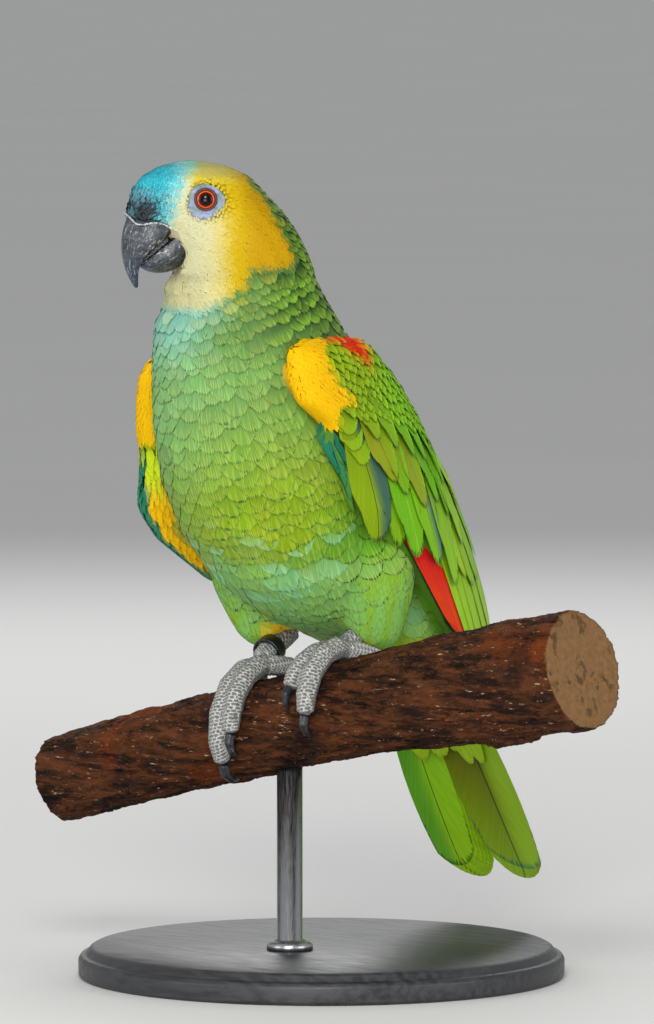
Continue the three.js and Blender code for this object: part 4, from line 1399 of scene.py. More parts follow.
class Plane:
    """A slightly arched plane that stands in for a shell under the tail's feathers."""

    def __init__(self, place, normal):
        self.place = place
        self.normal = normal

    def nearest(self, points):
        arch = TAIL_ARCH * (points[..., 0] / TAIL_HALF) ** 2
        height = (points - self.place) @ self.normal + arch
        slope = 2 * TAIL_ARCH * points[..., 0] / TAIL_HALF ** 2
        normal = unit(self.normal + np.multiply.outer(slope, np.array([1.0, 0, 0])))
        return points - height[..., None] * self.normal, normal


tail_plane = Plane(TAIL_BASE, TAIL_TOP)


def tail_feathers():
    """Twelve long feathers; the middle pair lies uppermost and the outer ones below and shorter."""
    parts = []
    lime, pale = paint(124, 182, 26), paint(150, 196, 24)
    for side in SIDES:
        for j in range(6):
            start = TAIL_BASE + np.array([side * (3 + 1.7 * j), 0, 0])
            reach = 110 - 0.8 * j - 0.2 * j * j
            fan = (5 + 1.2 * j) if side > 0 else -(15 + 1.0 * j)
            part = shaft_parts(TAIL_ROWS)[:, None]
            spread = np.sin(part * math.pi / 2) ** 0.8
            line = start + TAIL_WAY * reach * part + np.array([fan - start[0], 0, 0]) * spread
            wide = 28 + 2.2 * j if side > 0 else 20 + 0.2 * j
            inner_vane = paint(96, 98, 0) if side > 0 else paint(132, 190, 34)
            outer_vane = paint(156, 200, 30) if side > 0 else paint(92, 160, 40)
            tone, look = lime, {"tip": pale, "vane": [*outer_vane, 0.0], "rim_share": 0.2}
            if j == 5:
                tone = inner_vane
                look = {"tip": mix(inner_vane, pale, 0.6), "vane": [*outer_vane, 0.95],
                        "rim_share": 0.7, "rim": TEAL * 0.8 if side > 0 else DARK_RIM}
            parts.append(Tract(
                [line[0]], [TAIL_WAY], reach, wide, tone, hand=side, quill=paint(8, 16, 8),
                quill_share=0.95, low=1.9 - 0.75 * j, high=1.9 - 0.75 * j, roll=-0.45 * side,
                spine=line[None], **look))
    return Tract.joined(parts)


def tail_coverts():
    """Soft feathers over and under the root of the tail."""
    tracts = []
    for face, count, reach in ((1, 26, 26), (-1, 30, 24)):
        rows = np.arange(count)
        x = 15 * np.sin(rows * 2.4)
        down = 2 + 22 * (rows / count)
        root = TAIL_BASE + TAIL_WAY * down[:, None]
        root[:, 0] = x * (0.6 + 0.4 * down / 24)
        lie = TAIL_WAY + np.column_stack([0.006 * x, np.zeros(count), np.zeros(count)])
        tone = (BACK if face > 0 else VENT) * rng.normal(1, 0.06, (count, 1))
        spine = root[:, None] + lie[:, None] * (reach * shaft_parts(TAIL_ROWS))[None, :, None]
        tracts.append(Tract(root, lie, reach, 12, tone, tip=tone * 1.1, rim_share=0.3,
                            low=face * 4.6, high=face * 3.4, spine=spine))
    return Tract.joined(tracts)


# ------------------------------------------------------------------ lofts by rings

def bridged(bm, rings, closed=True):
    """Walls between neighbouring circles of points, capped at both ends."""
    circles = []
    for points in rings:
        made = bmesh.ops.create_circle(bm, cap_ends=False, segments=len(points), radius=1)["verts"]
        for vert, point in zip(made, points):
            vert.co = Vector(point)
        circles.append(made)
    loops = []
    for verts in circles:
        members = set(verts)
        loops.append([e for e in bm.edges if e.verts[0] in members and e.verts[1] in members])
    for a, b in zip(loops, loops[1:]):
        bmesh.ops.bridge_loops(bm, edges=a + b)
    if closed:
        for loop in (loops[0], loops[-1]):
            bmesh.ops.contextual_create(bm, geom=loop)
    return circles


def horn_ring(front, back, half, belly, count=9):
    """One section of the bill: rounded at the front, straight sides, and a flat or hollow back."""
    down = np.linspace(0, 1, count)
    wide = half * np.where(down < 0.62, np.sin(np.minimum(down / 0.62, 1) * math.pi / 2) ** 0.85,
                           1 - 0.14 * ((down - 0.62) / 0.38) ** 2)
    under = np.array([0.55, 0.0, -0.55])
    side = np.concatenate([wide, wide[-1] * under, -wide[:0:-1]])
    share = np.concatenate([down, 1 - belly * (1 - under ** 2), down[:0:-1]])
    front, back = np.array(front), np.array(back)
    place = front + np.outer(share, back - front)
    return np.column_stack([place[:, 0], side, place[:, 1]]), side / half, share


# Sections of the bill and the mouth: front and back (forward, up), and half the width.
BILL_UPPER = [
    ((27.5, 5.6), (11.4, -0.6), 8.4), ((30.0, 4.2), (12.0, -1.8), 9.1),
    ((31.6, 2.0), (12.9, -3.0), 9.5), ((32.8, -1.2), (14.6, -4.8), 9.6),
    ((33.6, -4.6), (17.0, -7.2), 9.3), ((33.9, -8.2), (19.8, -9.8), 8.6),
    ((33.8, -12), (22.8, -12.6), 7.4), ((33.1, -15.8), (25.2, -15.0), 6.0),
    ((31.9, -19.4), (26.8, -17.8), 4.5), ((30.6, -22.2), (27.2, -20.8), 3.1),
    ((29.2, -24.6), (27.0, -23.6), 1.8), ((27.9, -26.4), (26.8, -25.9), 0.7),
]
BILL_LOWER = [
    ((8.4, -17.0), (9.4, -3.8), 8.3), ((10.2, -18.6), (12.0, -4.2), 8.9),
    ((13.8, -20.3), (15.2, -6.6), 8.9), ((17.4, -21.0), (18.6, -9.6), 8.2),
    ((20.8, -20.8), (21.6, -12.3), 7.0), ((23.6, -19.9), (24.0, -14.5), 5.4),
    ((25.4, -18.7), (25.8, -15.9), 3.6), ((26.4, -17.7), (26.6, -16.7), 1.8),
]
MOUTH = [
    ((9, -5), (8, -14), 6.0), ((13, -8.0), (12, -15.5), 6.2), ((17, -11), (16, -17), 5.6),
    ((21, -13.8), (20, -18), 4.4), ((24.4, -15.6), (23.8, -18), 2.6),
]


def horn_loft(name, rings, belly, material, replaces):
    """A bill half from its sections, with its own lengthwise and crosswise measure."""
    bm = bmesh.new()
    along, across, edge = map(bm.verts.layers.float.new, ("along", "across", "edge"))
    shaped = [horn_ring(front, back, half, belly) for front, back, half in rings]
    circles = bridged(bm, [[head_point(*p) for p in ring[0]] for ring in shaped])
    for k, (circle, (_, side, share)) in enumerate(zip(circles, shaped)):
        for vert, s, t in zip(circle, side, share):
            vert[along] = k / (len(rings) - 1)
            vert[across] = s
            vert[edge] = t
    from_bmesh(name, bm, material, replaces, 2)


def bill_material():
    """Dark horn: pale flaking streaks down its length, growth lines across, and painted shade near
    black on the inner faces by the mouth.
    """
    material, web = new_material("bill_horn")
    place = web.place()
    along, across, edge = (
        web.attribute(name).outputs["Fac"] for name in ("along", "across", "edge"))
    wander = web.line(web.noise(place, 170.0, 3.0), 0.3, across)
    stretched = web.spot(web.times(wander, 15.0), web.times(along, 3.0),
                         web.times(edge, 3.0))
    streaks = web.noise(stretched, 1.6, 8.0, 0.75)
    flakes = web.noise(place, 760.0, 4.0, 0.6)
    growth = web.noise(web.spot(web.times(along, 30.0), web.times(edge, 2.5)),
                       1.0, 3.0)
    worn = web.times(web.ramp(streaks, 0.53, 0.66), web.ramp(flakes, 0.36, 0.56))
    colour = web.layers(
        paint(26, 29, 35),
        (web.ramp(growth, 0.3, 0.7), paint(66, 72, 80)),
        (web.ramp(streaks, 0.44, 0.34), paint(18, 20, 24)),
        (web.ramp(along, 0.5, 1.0), paint(32, 42, 70)),
        # Painted shade: near black on the inner faces and cutting edge next to the mouth.
        (web.ramp(edge, 0.8, 0.93), paint(10, 11, 13)),
        (worn, paint(190, 194, 198)))
    height = web.plus(web.plus(streaks, growth), web.times(flakes, 0.4))
    web.dress(colour, web.ramp(flakes, 0.3, 0.7, 0.16, 0.4), (height, 0.45, 0.0004))
    return material


def claw_material():
    """Dark horn with paler worn streaks and flakes."""
    material, web = new_material("claw_horn")
    streaks = web.noise(web.mapped((1.0, 1.0, 0.35)), 380.0, 6.0, 0.65)
    flakes = web.noise(web.place(), 1500.0, 4.0, 0.6)
    worn = web.times(web.ramp(streaks, 0.5, 0.72), web.ramp(flakes, 0.35, 0.65))
    height = web.plus(streaks, web.times(flakes, 0.4))
    web.dress(web.mixed(worn, paint(26, 28, 34), paint(96, 100, 110)),
              web.ramp(flakes, 0.3, 0.7, 0.22, 0.47), (height, 0.5, 0.0004))
    return material


def make_bill():
    horn = bill_material()
    horn_loft("bill_upper_horn", BILL_UPPER, 0.10, horn, ["bill_upper"])
    horn_loft("bill_lower_horn", BILL_LOWER, 0.12, horn, ["bill_lower"])
    flesh, web = new_material("mouth_flesh")
    fine = web.noise(web.place(), 900.0, 3.0)
    web.dress(web.mixed(fine, paint(20, 12, 14), paint(70, 34, 32)), 0.5)
    bm = bmesh.new()
    bridged(bm, [[head_point(*p) for p in horn_ring(f, b, h, 0.1)[0]] for f, b, h in MOUTH])
    from_bmesh("mouth_lining", bm, flesh, levels=1)


# ------------------------------------------------------------------ eyes

EYE_BALL = 5.9
CORNEA_RADIUS = 4.2
CORNEA_RISE = 0.35
LID_RADIUS = 3.72
LID_BEADS = 34


def eye_material():
    material, web = new_material("eye")
    gaze = web.attribute("gaze").outputs["Fac"]
    fleck = web.noise(web.place(), 2600.0, 3.0)
    reach = web.plus(gaze, web.line(fleck, 0.05, -0.025))
    colour = web.layers(
        paint(3, 1, 1),
        (web.ramp(reach, 0.32, 0.36), paint(58, 6, 4)),
        (web.ramp(reach, 0.46, 0.49), paint(206, 82, 38)),
        (web.ramp(reach, 0.54, 0.575), paint(112, 10, 4)),
        (web.ramp(reach, 0.62, 0.68), paint(22, 4, 4)))
    web.dress(colour, 0.3, specular=0.05)
    for key, value in (("Weight", 0.7), ("IOR", 1.3), ("Roughness", 0.02)):
        web.shader.inputs["Coat " + key].default_value = value
    return material


def turn_to(way):
    """A turn that takes +Z to a direction."""
    return Vector(way).to_track_quat("Z", "Y").to_matrix().to_4x4()


def gaze_turn(side):
    return turn_to(HEAD_LEFT * side + HEAD_FORWARD * 0.2 + UP * 0.03)


def moved(bm, turn, spot):
    bmesh.ops.transform(bm, matrix=Matrix.Translation(spot) @ turn, verts=bm.verts)


def full_turn(bm, steps):
    bmesh.ops.spin(bm, geom=bm.verts[:] + bm.edges[:], axis=(0, 0, 1), cent=(0, 0, 0),
                   angle=2 * math.pi, steps=steps, use_merge=True)


def spun(profile, steps, pits=()):
    """A solid turned round Z from radius and height pairs; pits marks the dark ones among them."""
    bm = bmesh.new()
    pit = bm.verts.layers.float.new("pit") if pits else None
    verts = [bm.verts.new((r, 0, z)) for r, z in profile]
    for vert, dark in zip(verts, pits):
        vert[pit] = dark
    for a, b in zip(verts, verts[1:]):
        bm.edges.new((a, b))
    full_turn(bm, steps)
    bmesh.ops.remove_doubles(bm, verts=bm.verts, dist=0.01)
    return bm


def bevelled(bm, angle, offset, segments):
    sharp = [e for e in bm.edges if e.calc_face_angle(0) > angle]
    bmesh.ops.bevel(bm, geom=sharp, offset=offset, segments=segments, profile=0.5, affect="EDGES",
                    material=-1)


def make_eyes():
    iris = eye_material()
    lid, web = new_material("eyelid")
    fine = web.noise(web.place(), 3000.0, 2.0)
    web.dress(web.mixed(fine, paint(24, 8, 8), paint(92, 34, 28)), 0.45, (fine, 0.5, 0.0002))
    for side, name in SIDES.items():
        turn = gaze_turn(side)
        out = np.array(turn @ Vector((0, 0, 1)))
        bm = bmesh.new()
        bmesh.ops.create_uvsphere(bm, u_segments=48, v_segments=36, radius=EYE_BALL)
        for vert in bm.verts:
            across = math.hypot(vert.co.x, vert.co.y)
            if vert.co.z > 0:
                vert.co.z += CORNEA_RISE * max(0.0, 1 - (across / CORNEA_RADIUS) ** 2)
        moved(bm, turn, EYES[side])
        ball = from_bmesh(f"eyeball_{name}", bm, iris, [f"eye_{name}"])
        centre = EYES[side] * MM + ORIGIN
        points = np.array([v.co for v in ball.data.vertices]) - centre
        along = points @ out
        across = np.linalg.norm(points - along[:, None] * out, axis=1)
        gaze = np.where(along > 0, across / (EYE_BALL * MM), 2.0)
        layer = ball.data.attributes.new("gaze", "FLOAT", "POINT")
        layer.data.foreach_set("value", gaze)
        make_lids(side, name, turn, lid)


def make_lids(side, name, turn, material):
    """A rounded lid edge with a row of small beads, lying on the ball."""
    bm = bmesh.new()
    height = math.sqrt(EYE_BALL ** 2 - LID_RADIUS ** 2)
    profile = bmesh.ops.create_circle(bm, segments=10, radius=0.5)["verts"]
    bmesh.ops.rotate(bm, verts=profile, matrix=Matrix.Rotation(math.pi / 2, 3, "X"))
    bmesh.ops.translate(bm, verts=profile, vec=(LID_RADIUS + 0.2, 0, height + 0.15))
    full_turn(bm, 48)
    reach = LID_RADIUS + 0.62
    for i in range(LID_BEADS):
        angle = 2 * math.pi * i / LID_BEADS
        spot = (reach * math.cos(angle), reach * math.sin(angle), height + 0.25)
        bmesh.ops.create_icosphere(bm, subdivisions=1, radius=0.3, matrix=Matrix.Translation(spot))
    moved(bm, turn, EYES[side])
    from_bmesh(f"eyelid_{name}", bm, material)


def eye_ring_material():
    material, web = new_material("eye_ring_skin")
    place = web.place()
    folds = web.noise(place, 900.0, 5.0, 0.6)
    tint = web.noise(place, 200.0, 1.0)
    colour = web.layers(
        paint(108, 126, 122),
        (web.ramp(tint, 0.4, 0.6), paint(138, 148, 172)),
        (web.ramp(folds, 0.5, 0.7), paint(92, 100, 112)))
    web.dress(colour, 0.6, (folds, 0.6, 0.0003), specular=0.3)
    return material


EYE_RING_STEPS = 56
EYE_RING_FOLDS = 11


def make_eye_rings():
    """Bare skin round each eye in low folds, its outer edge tucked under the feathers."""
    material = eye_ring_material()
    turn = np.arange(EYE_RING_STEPS) / EYE_RING_STEPS * 2 * math.pi
    for side, name in SIDES.items():
        matrix = gaze_turn(side)
        out = np.array(matrix @ Vector((0, 0, 1)))
        ahead = unit(HEAD_FORWARD - out * (HEAD_FORWARD @ out))
        over = unit(UP - out * (UP @ out) - ahead * (UP @ ahead))
        radial = np.outer(np.cos(turn), ahead) + np.outer(np.sin(turn), over)
        inner = EYES[side] + out * 4.5 + radial * 4.15
        reach = eye_ring_reach(turn) + 0.9
        flat = [head_point(f, side * 32.0, u) for f, u in zip(
            EYE_FORWARD + reach * np.cos(turn), EYE_UP + reach * np.sin(turn))]
        outer = whole_head.shot(np.array(flat), [-HEAD_LEFT * side] * len(flat))
        _, normal = whole_head.nearest(outer)
        outer = outer - normal * 0.5
        bulge = out * 0.9
        shaped = []
        for share in np.linspace(0, 1, EYE_RING_FOLDS):
            fold = 0.09 * np.sin(share * 20 + 0.8 * np.sin(turn * 3)) * (share * (1 - share) * 4)
            lift = bulge * math.sin(share * math.pi) ** 0.8 + np.outer(fold, out)
            shaped.append(inner * (1 - share) + outer * share + lift)
        shaped.insert(0, shaped[0] - out * 1.2)
        shaped.append(shaped[-1] - out * 1.2)
        bm = bmesh.new()
        circles = bridged(bm, shaped, closed=False)
        ends = set(circles[0]), set(circles[-1])
        rim = [e for e in bm.edges if e.is_boundary and any(set(e.verts) <= end for end in ends)]
        bmesh.ops.bridge_loops(bm, edges=rim)
        from_bmesh(f"eye_ring_{name}", bm, material, levels=1)


# ------------------------------------------------------------------ cere

def make_nostrils():
    """Nostrils: a low rim of skin round a pit, painted near black inside as its shade."""
    dark, web = new_material("nostril")
    fine = web.noise(web.place(), 1800.0, 3.0)
    pit = web.attribute("pit").outputs["Fac"]
    skin = web.mixed(fine, paint(28, 30, 34), paint(58, 62, 68))
    # Painted shade: the pit's inside is near black.
    web.dress(web.mixed(pit, skin, paint(8, 7, 8)), 0.8, (fine, 0.6, 0.0003), specular=0.2)
    profile = [(0, -0.9), (0.5, -0.85), (0.85, -0.5), (1.05, 0.05), (1.35, 0.3), (1.75, 0.15),
               (2.1, -0.4), (1.6, -1.2), (0, -1.4)]
    for side, name in SIDES.items():
        spot = head_point(NOSTRIL[0], side * 30, NOSTRIL[1])
        found = whole_head.shot(np.array([spot]), np.array([-HEAD_LEFT * side]))[0]
        normal = whole_head.nearest(found[None])[1][0]
        bm = spun(profile, 24, (1, 1, 0.8, 0.15, 0, 0, 0, 0, 0))
        moved(bm, turn_to(normal), found + normal * 0.25)
        from_bmesh(f"nostril_{name}", bm, dark)


def cere_bristles():
    """Thin dark hairs over the cere and the foot of the forehead."""

    def wanted(spots):
        forward, left, up = head_axes(spots)
        hole = from_nostril(forward, up) < 1.4
        return (forward > 19) & (up > -1.5) & (up < 11.5) & ~hole

    root = scattered(whole_head, wanted, 1.35, 7000)
    count = len(root)
    forward, left, up = head_axes(root)
    near = from_nostril(forward, up)
    pale = rng.random(count) < smooth(2, 9, near)
    tone = mix(paint(24, 28, 32), paint(104, 150, 160), 0.85 * pale)
    away = root - head_point(28, 0, 0)
    lie = unit(away) * 0.4 + UP * 0.6 - 0.8 * HEAD_FORWARD + rng.normal(0, 0.25, (count, 3))
    return Tract(root, lie, 2.4, 0.28, tone, rim_share=0, low=-0.1,
                 high=0.35 + 0.3 * rng.random(count))


# Half of the upper bill's root in the head's frame: forward, left, up.
RIM_LINE = [(32.2, 0.0, 2.6), (31.6, 3.0, 2.0), (30.4, 5.4, 0.4), (28.8, 7.2, -1.4),
            (26.4, 8.4, -1.7), (23.6, 9.1, -1.0), (20.6, 9.5, -0.9), (17.8, 9.7, -1.8),
            (15.4, 9.7, -3.4), (13.4, 9.4, -5.0)]


def make_bill_rim():
    """A worn pale ridge where the horn of the upper bill comes out of the cere."""
    material, web = new_material("bill_rim")
    flakes = web.noise(web.place(), 1500.0, 4.0, 0.7)
    web.dress(web.mixed(web.ramp(flakes, 0.35, 0.6), paint(78, 84, 92), paint(196, 200, 204)), 0.6,
              (flakes, 0.6, 0.0003))
    half = np.array(RIM_LINE, float)
    other = half[:0:-1] * np.array([1, -1, 1])
    line = along_line(np.concatenate([other, half]), np.linspace(0, 1, 76))
    bm = bmesh.new()
    tangents = unit(np.gradient(line, axis=0))
    rings = []
    for k, (point, tangent) in enumerate(zip(line, tangents)):
        out = unit(np.array([0.3, point[1], 0.2]) + 1e-6)
        a = unit(np.cross(tangent, out))
        b = np.cross(a, tangent)
        worn = 0.85 + 0.5 * math.sin(k * 1.7) * math.sin(k * 0.6)
        radius = 0.38 * worn * min(1, 0.3 + min(k, 75 - k) / 6)
        turn = np.arange(8) / 8 * 2 * math.pi
        circle = point + radius * (np.outer(np.cos(turn), a) + np.outer(np.sin(turn), b))
        rings.append([head_point(*p) for p in circle])
    bridged(bm, rings)
    from_bmesh("bill_rim", bm, material)


# ------------------------------------------------------------------ claws, ring, branch, stand

CLAW_VOXEL = 0.4
PERCH_VOXEL = 1.0


def make_claws():
    material = claw_material()
    for name in SIDES.values():
        for i in range(1, 5):
            node = f"claw_{name}_{i}"
            points, _, faces = arrays_of(remeshed(node_copy([node]), CLAW_VOXEL, 4))
            finished(f"{node}_horn", points, faces, material, [node])


def make_leg_ring():
    material, web = new_material("ring_metal")
    scuff = web.noise(web.place(), 1200.0, 5.0, 0.7)
    web.dress(web.mixed(scuff, paint(20, 22, 26), paint(84, 88, 94)),
              web.ramp(scuff, 0.3, 0.7, 0.2, 0.45), (scuff, 0.2, 0.0001), metal=0.9)
    bm = bmesh.new()
    inner, outer, half = 4.8, 5.9, 2.75
    corners = [(inner, -half), (outer, -half), (outer, half), (inner, half)]
    verts = [bm.verts.new((r, 0, z)) for r, z in corners]
    for a, b in zip(verts, verts[1:] + verts[:1]):
        bm.edges.new((a, b))
    full_turn(bm, 64)
    bevelled(bm, 1, 0.3, 3)
    moved(bm, turn_to((-4, 26, 9.5)), middle_of("leg_ring"))
    from_bmesh("leg_ring_band", bm, material, ["leg_ring"])


def bark_material():
    material, web = new_material("bark")
    place = web.place()
    turned = web.mapped((0.2, 1.0, 1.0), PERCH_SLOPE)
    cut = web.attribute("cut").outputs["Fac"]
    broad = web.noise(place, 24.0, 5.0)
    grain = web.noise(turned, 210.0, 9.0, 0.72)
    specks = web.noise(turned, 800.0, 6.0, 0.75)
    shadow = web.ramp(web.noise(place, 52.0, 7.0, 0.6), 0.53, 0.66)
    colour = web.layers(
        paint(26, 12, 6),
        (web.ramp(grain, 0.38, 0.62), paint(100, 56, 28)),
        (web.times(web.ramp(broad, 0.54, 0.66), 0.7), paint(120, 54, 10)),
        (web.times(shadow, 0.8), paint(30, 18, 14)),
        (web.ramp(specks, 0.60, 0.68), paint(206, 168, 132)))
    # Painted shade: the low cracks of the bark are near black.
    cracks = web.ramp(web.noise(turned, 110.0, 12.0, 0.8), 0.36, 0.44)
    ends = web.mixed(web.noise(place, 420.0, 4.0), paint(112, 80, 48), paint(160, 122, 80))
    colour = web.mixed(cut, web.mixed(cracks, paint(12, 6, 4), colour), ends)
    height = web.plus(web.plus(grain, cracks), web.times(specks, 0.6))
    web.dress(colour, web.ramp(specks, 0.3, 0.7, 0.7, 0.92), (height, 1.0, 0.0024), specular=0.15)
    return material


def make_perch():
    """The branch with ridges, pits and cracks in its bark, and sawn ends with year rings."""
    points, normals, faces = arrays_of(remeshed(node_copy(["perch"]), PERCH_VOXEL, 3))
    axis = np.array([math.cos(PERCH_SLOPE), 0, math.sin(PERCH_SLOPE)])
    along = points @ axis
    facing = np.abs(normals @ axis)
    ends = smooth(0.75, 0.9, facing) * ((along < along.min() + 6) | (along > along.max() - 6))
    height = np.empty(len(points))
    for i, (p, a) in enumerate(zip(points, along)):
        ridge = noise.fractal(Vector((a * 0.06, p[1] * 0.24, p[2] * 0.24)), 0.8, 2.1, 6)
        knob = noise.noise(Vector((a * 0.10, p[1] * 0.10, p[2] * 0.10 + 7)))
        fissure = abs(noise.fractal(Vector((a * 0.05, p[1] * 0.3, p[2] * 0.3 + 3)), 0.7, 2.0, 4))
        height[i] = 0.8 * ridge + 0.5 * knob - 0.9 * max(0, 0.16 - fissure) / 0.16
    middle = np.array([[np.median(points[:, 1]), np.median(points[np.abs(along - a) < 6, 2])]
                       for a in (along.min(), along.max())])
    which = (along > 0).astype(int)
    radius = np.hypot(points[:, 1] - middle[which, 0], points[:, 2] - middle[which, 1])
    rings = 0.12 * np.sin(radius * 2.6)
    height = np.clip(height - 0.3, -1.8, 0.45) * (1 - ends) + (rings - 0.15) * ends
    points = points + normals * height[:, None]
    finished("perch_bark", points, faces, bark_material(), ["perch"], {"cut": ends})


def make_stand():
    wood, web = new_material("stand_wood")
    grain = web.noise(web.mapped((0.12, 1.0, 1.0)), 420.0, 6.0)
    colour = web.mixed(web.ramp(grain, 0.35, 0.65), paint(30, 31, 34), paint(48, 49, 53))
    web.dress(colour, web.ramp(grain, 0.3, 0.7, 0.38, 0.55), (grain, 0.15, 0.0002))
    low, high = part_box("stand_base")
    centre = ((np.array(low) + np.array(high)) / 2 - ORIGIN) / MM
    radius = (high.x - low.x) / 2 / MM
    depth = (high.z - low.z) / MM
    bm = spun([(0, 0), (radius - 1.2, 0), (radius, 1.2), (radius, depth - 5),
               (radius - 1, depth - 3.5), (radius - 3, depth - 3.2), (radius - 4.5, depth - 0.8),
               (radius - 6, depth), (0, depth)], 128)
    bevelled(bm, 0.5, 0.35, 2)
    moved(bm, Matrix(), centre - UP * depth / 2)
    from_bmesh("stand_plinth", bm, wood, ["stand_base"])

    steel, web = new_material("stand_metal")
    brushed = web.noise(web.mapped((1, 1, 0.06)), 2600.0, 3.0)
    web.dress(web.mixed(brushed, paint(158, 160, 164), paint(178, 180, 184)),
              web.ramp(brushed, 0.3, 0.7, 0.25, 0.42), metal=1.0)
    bottom = (rod_low.z - ORIGIN[2]) / MM
    top = (rod_high.z - ORIGIN[2]) / MM
    deck = centre[2] + depth / 2
    bm = spun([(0, bottom), (5, bottom), (5, deck + 0.1), (9, deck + 0.1), (9, deck + 2.2),
               (7.4, deck + 3.6), (5, deck + 4.4), (5, top), (0, top)], 48)
    from_bmesh("stand_post", bm, steel, ["stand_rod"])


# ------------------------------------------------------------------ putting it together

velvet_finish = plumage("face_plumage", 2.2, 0.6, 0.0, 0.25, 0.7, 0.08, rough=0.65, relief=0.15)
body_finish = plumage("body_plumage", 9.0, 2.0, 0.0, 0.085, 0.7, 0.22, glint=0.1, relief=0.2)
soft_finish = plumage("soft_plumage", 8.0, 1.2, 0.0, 0.06, 0.8, 0.12, glint=0.05, relief=0.15)
covert_finish = plumage("covert_plumage", 12.0, 14.0, 0.03, 0.045, 0.5, 0.14, rough=0.45)
flight_finish = plumage("flight_plumage", 14.0, 40.0, 0.035, 0.03, 0.2, 0.14, rough=0.42)

coat("coat_head", head_tract(), whole_head, velvet_finish, rows=4, columns=3,
     tip_round=0.35, thick=0.08, ragged=0.03, shade=0.94)
dressed = dressed_body()
upper_half = dressed.root[:, 2] > 96
for name, chosen in (("coat_breast", upper_half), ("coat_belly", ~upper_half)):
    coat(name, dressed[chosen], torso, body_finish, rows=7, columns=9,
         tip_round=0.26, base_width=0.72, thick=0.06, ragged=0.012, shade=0.92)
for side, name in SIDES.items():
    coat(f"coat_thigh_{name}", thigh_tract(side), torso, soft_finish,
         rows=6, columns=5, tip_round=0.3, thick=0.05, ragged=0.006, shade=0.97)
    coat(f"coat_wing_{name}_flight", flight_feathers(side), sheets[side], flight_finish,
         rows=PLAN_ROWS, columns=7, tip_round=0.12, base_width=0.6, thick=0.3, ragged=0.0)
    coat(f"coat_wing_{name}_greater", greater_coverts(side), sheets[side], covert_finish,
         rows=PLAN_ROWS, columns=9, tip_round=0.3, base_width=0.66, thick=0.25, ragged=0.0)
    coat(f"coat_wing_{name}_median", median_coverts(side), sheets[side], covert_finish,
         rows=PLAN_ROWS, columns=9, tip_round=0.36, base_width=0.66, thick=0.2, ragged=0.004)
    coat(f"coat_wing_{name}_lesser", lesser_coverts(side), wings[side], body_finish,
         rows=6, columns=5, tip_round=0.45, thick=0.12, ragged=0.015)
    coat(f"coat_wing_{name}_bend", shoulder_velvet(side), wings[side], velvet_finish,
         rows=4, columns=3, tip_round=0.4, thick=0.08, ragged=0.02, shade=0.95)
    coat(f"coat_wing_{name}_edge", front_coverts(side), wings[side], soft_finish,
         rows=5, columns=5, tip_round=0.4, thick=0.1, ragged=0.01)
coat("coat_wing_left_front", front_strip(1), cloak_shell, covert_finish,
     rows=PLAN_ROWS, columns=5, tip_round=0.3, base_width=0.66, thick=0.15, ragged=0.0)
coat("coat_back", back_tract(), cloak_shell, body_finish, rows=6, columns=7,
     tip_round=0.42, base_width=0.6)
coat("tail_feathers", tail_feathers(), tail_plane, flight_finish, rows=TAIL_ROWS,
     columns=9, tip_round=0.075, base_width=0.55, thick=0.4, ragged=0.0)
coat("coat_tail_coverts", tail_coverts(), tail_plane, body_finish, rows=TAIL_ROWS,
     columns=7, tip_round=0.3, base_width=0.6, ragged=0.004)
coat("cere_bristles", cere_bristles(), whole_head, velvet_finish, rows=4, columns=3,
     tip_round=0.5, thick=0.06, ragged=0.02, shade=1.0)
for make in (make_bill, make_bill_rim, make_eyes, make_eye_rings, make_nostrils, make_claws,
             make_leg_ring, make_perch, make_stand):
    make()


# ------------------------------------------------------------------ stage, light and camera

FLOOR_RADIUS = 60  # metres, like the lamps' and the camera's places


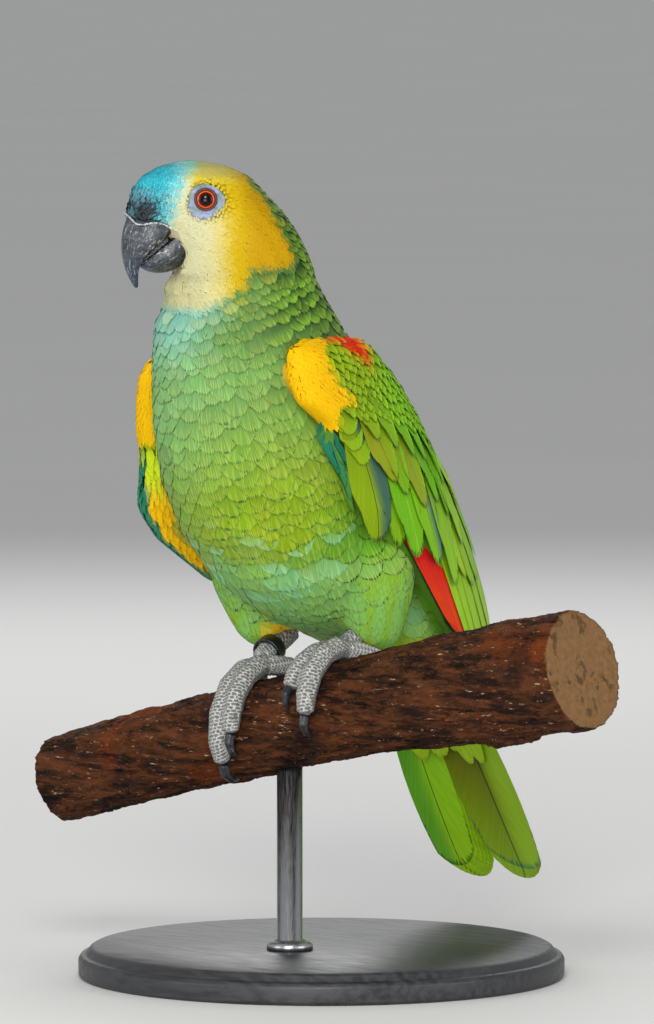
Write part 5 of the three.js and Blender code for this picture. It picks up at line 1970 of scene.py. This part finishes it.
def make_stage():
    material, web = new_material("floor")
    shade = web.noise(web.place(), 2.0, 2.0)
    web.dress(web.mixed(shade, (0.62, 0.62, 0.61), (0.66, 0.66, 0.65)), 0.9)
    bm = bmesh.new()
    bmesh.ops.create_circle(bm, cap_ends=True, segments=64, radius=FLOOR_RADIUS)
    mesh = bpy.data.meshes.new("floor")
    bm.to_mesh(mesh)
    bm.free()
    floor = new_object("floor", mesh)
    mesh.materials.append(material)
    world = bpy.data.worlds.new("world")
    bpy.context.scene.world = world
    world.use_nodes = True
    background = world.node_tree.nodes["Background"]
    background.inputs["Color"].default_value = (0.88, 0.89, 0.9, 1)
    background.inputs["Strength"].default_value = 0.55


def aimed(name, data, place, way):
    obj = new_object(name, data)
    obj.location = place
    obj.rotation_mode = "QUATERNION"
    obj.rotation_quaternion = way.to_track_quat("-Z", "Y")
    return obj


LIGHT_AIM = Vector((0, 0, 0.18))
LIGHTS = {  # place, size, power and colour
    "key": ((0.95, -1.45, 1.05), 0.5, 21, (1, 0.98, 0.95)),
    "left": ((-0.7, -1.5, 0.5), 0.8, 6.5, (1, 1, 1)),
    "right": ((1.7, 0.2, 0.5), 0.9, 8.5, (1, 1, 1)),
    "low": ((0.7, -1.2, 0.06), 0.6, 10.5, (1, 1, 1)),
    "back": ((-1.1, 1.3, 1.2), 0.9, 12, (1, 1, 1)),
}


def make_lights():
    for name, (place, size, power, colour) in LIGHTS.items():
        data = bpy.data.lights.new(name, "AREA")
        data.size = size
        data.energy = power
        data.color = colour
        aimed(name, data, place, LIGHT_AIM - Vector(place))


CAMERA_AZIMUTH = 38
CAMERA_ELEVATION = 4
CAMERA_REACH = 3.2
CAMERA_AIM = Vector((0.009, -0.008, 0.1823))


def make_camera():
    turn, lift = math.radians(CAMERA_AZIMUTH), math.radians(CAMERA_ELEVATION)
    level = math.cos(lift)
    back = Vector((math.sin(turn) * level, -math.cos(turn) * level, math.sin(lift)))
    data = bpy.data.cameras.new("camera")
    data.lens = 290
    data.sensor_width = 36
    data.clip_end = 200
    place = CAMERA_AIM + back * CAMERA_REACH
    bpy.context.scene.camera = aimed("camera", data, place, -back)


make_stage()
make_lights()
make_camera()
bpy.context.scene.view_settings.view_transform = "Standard"
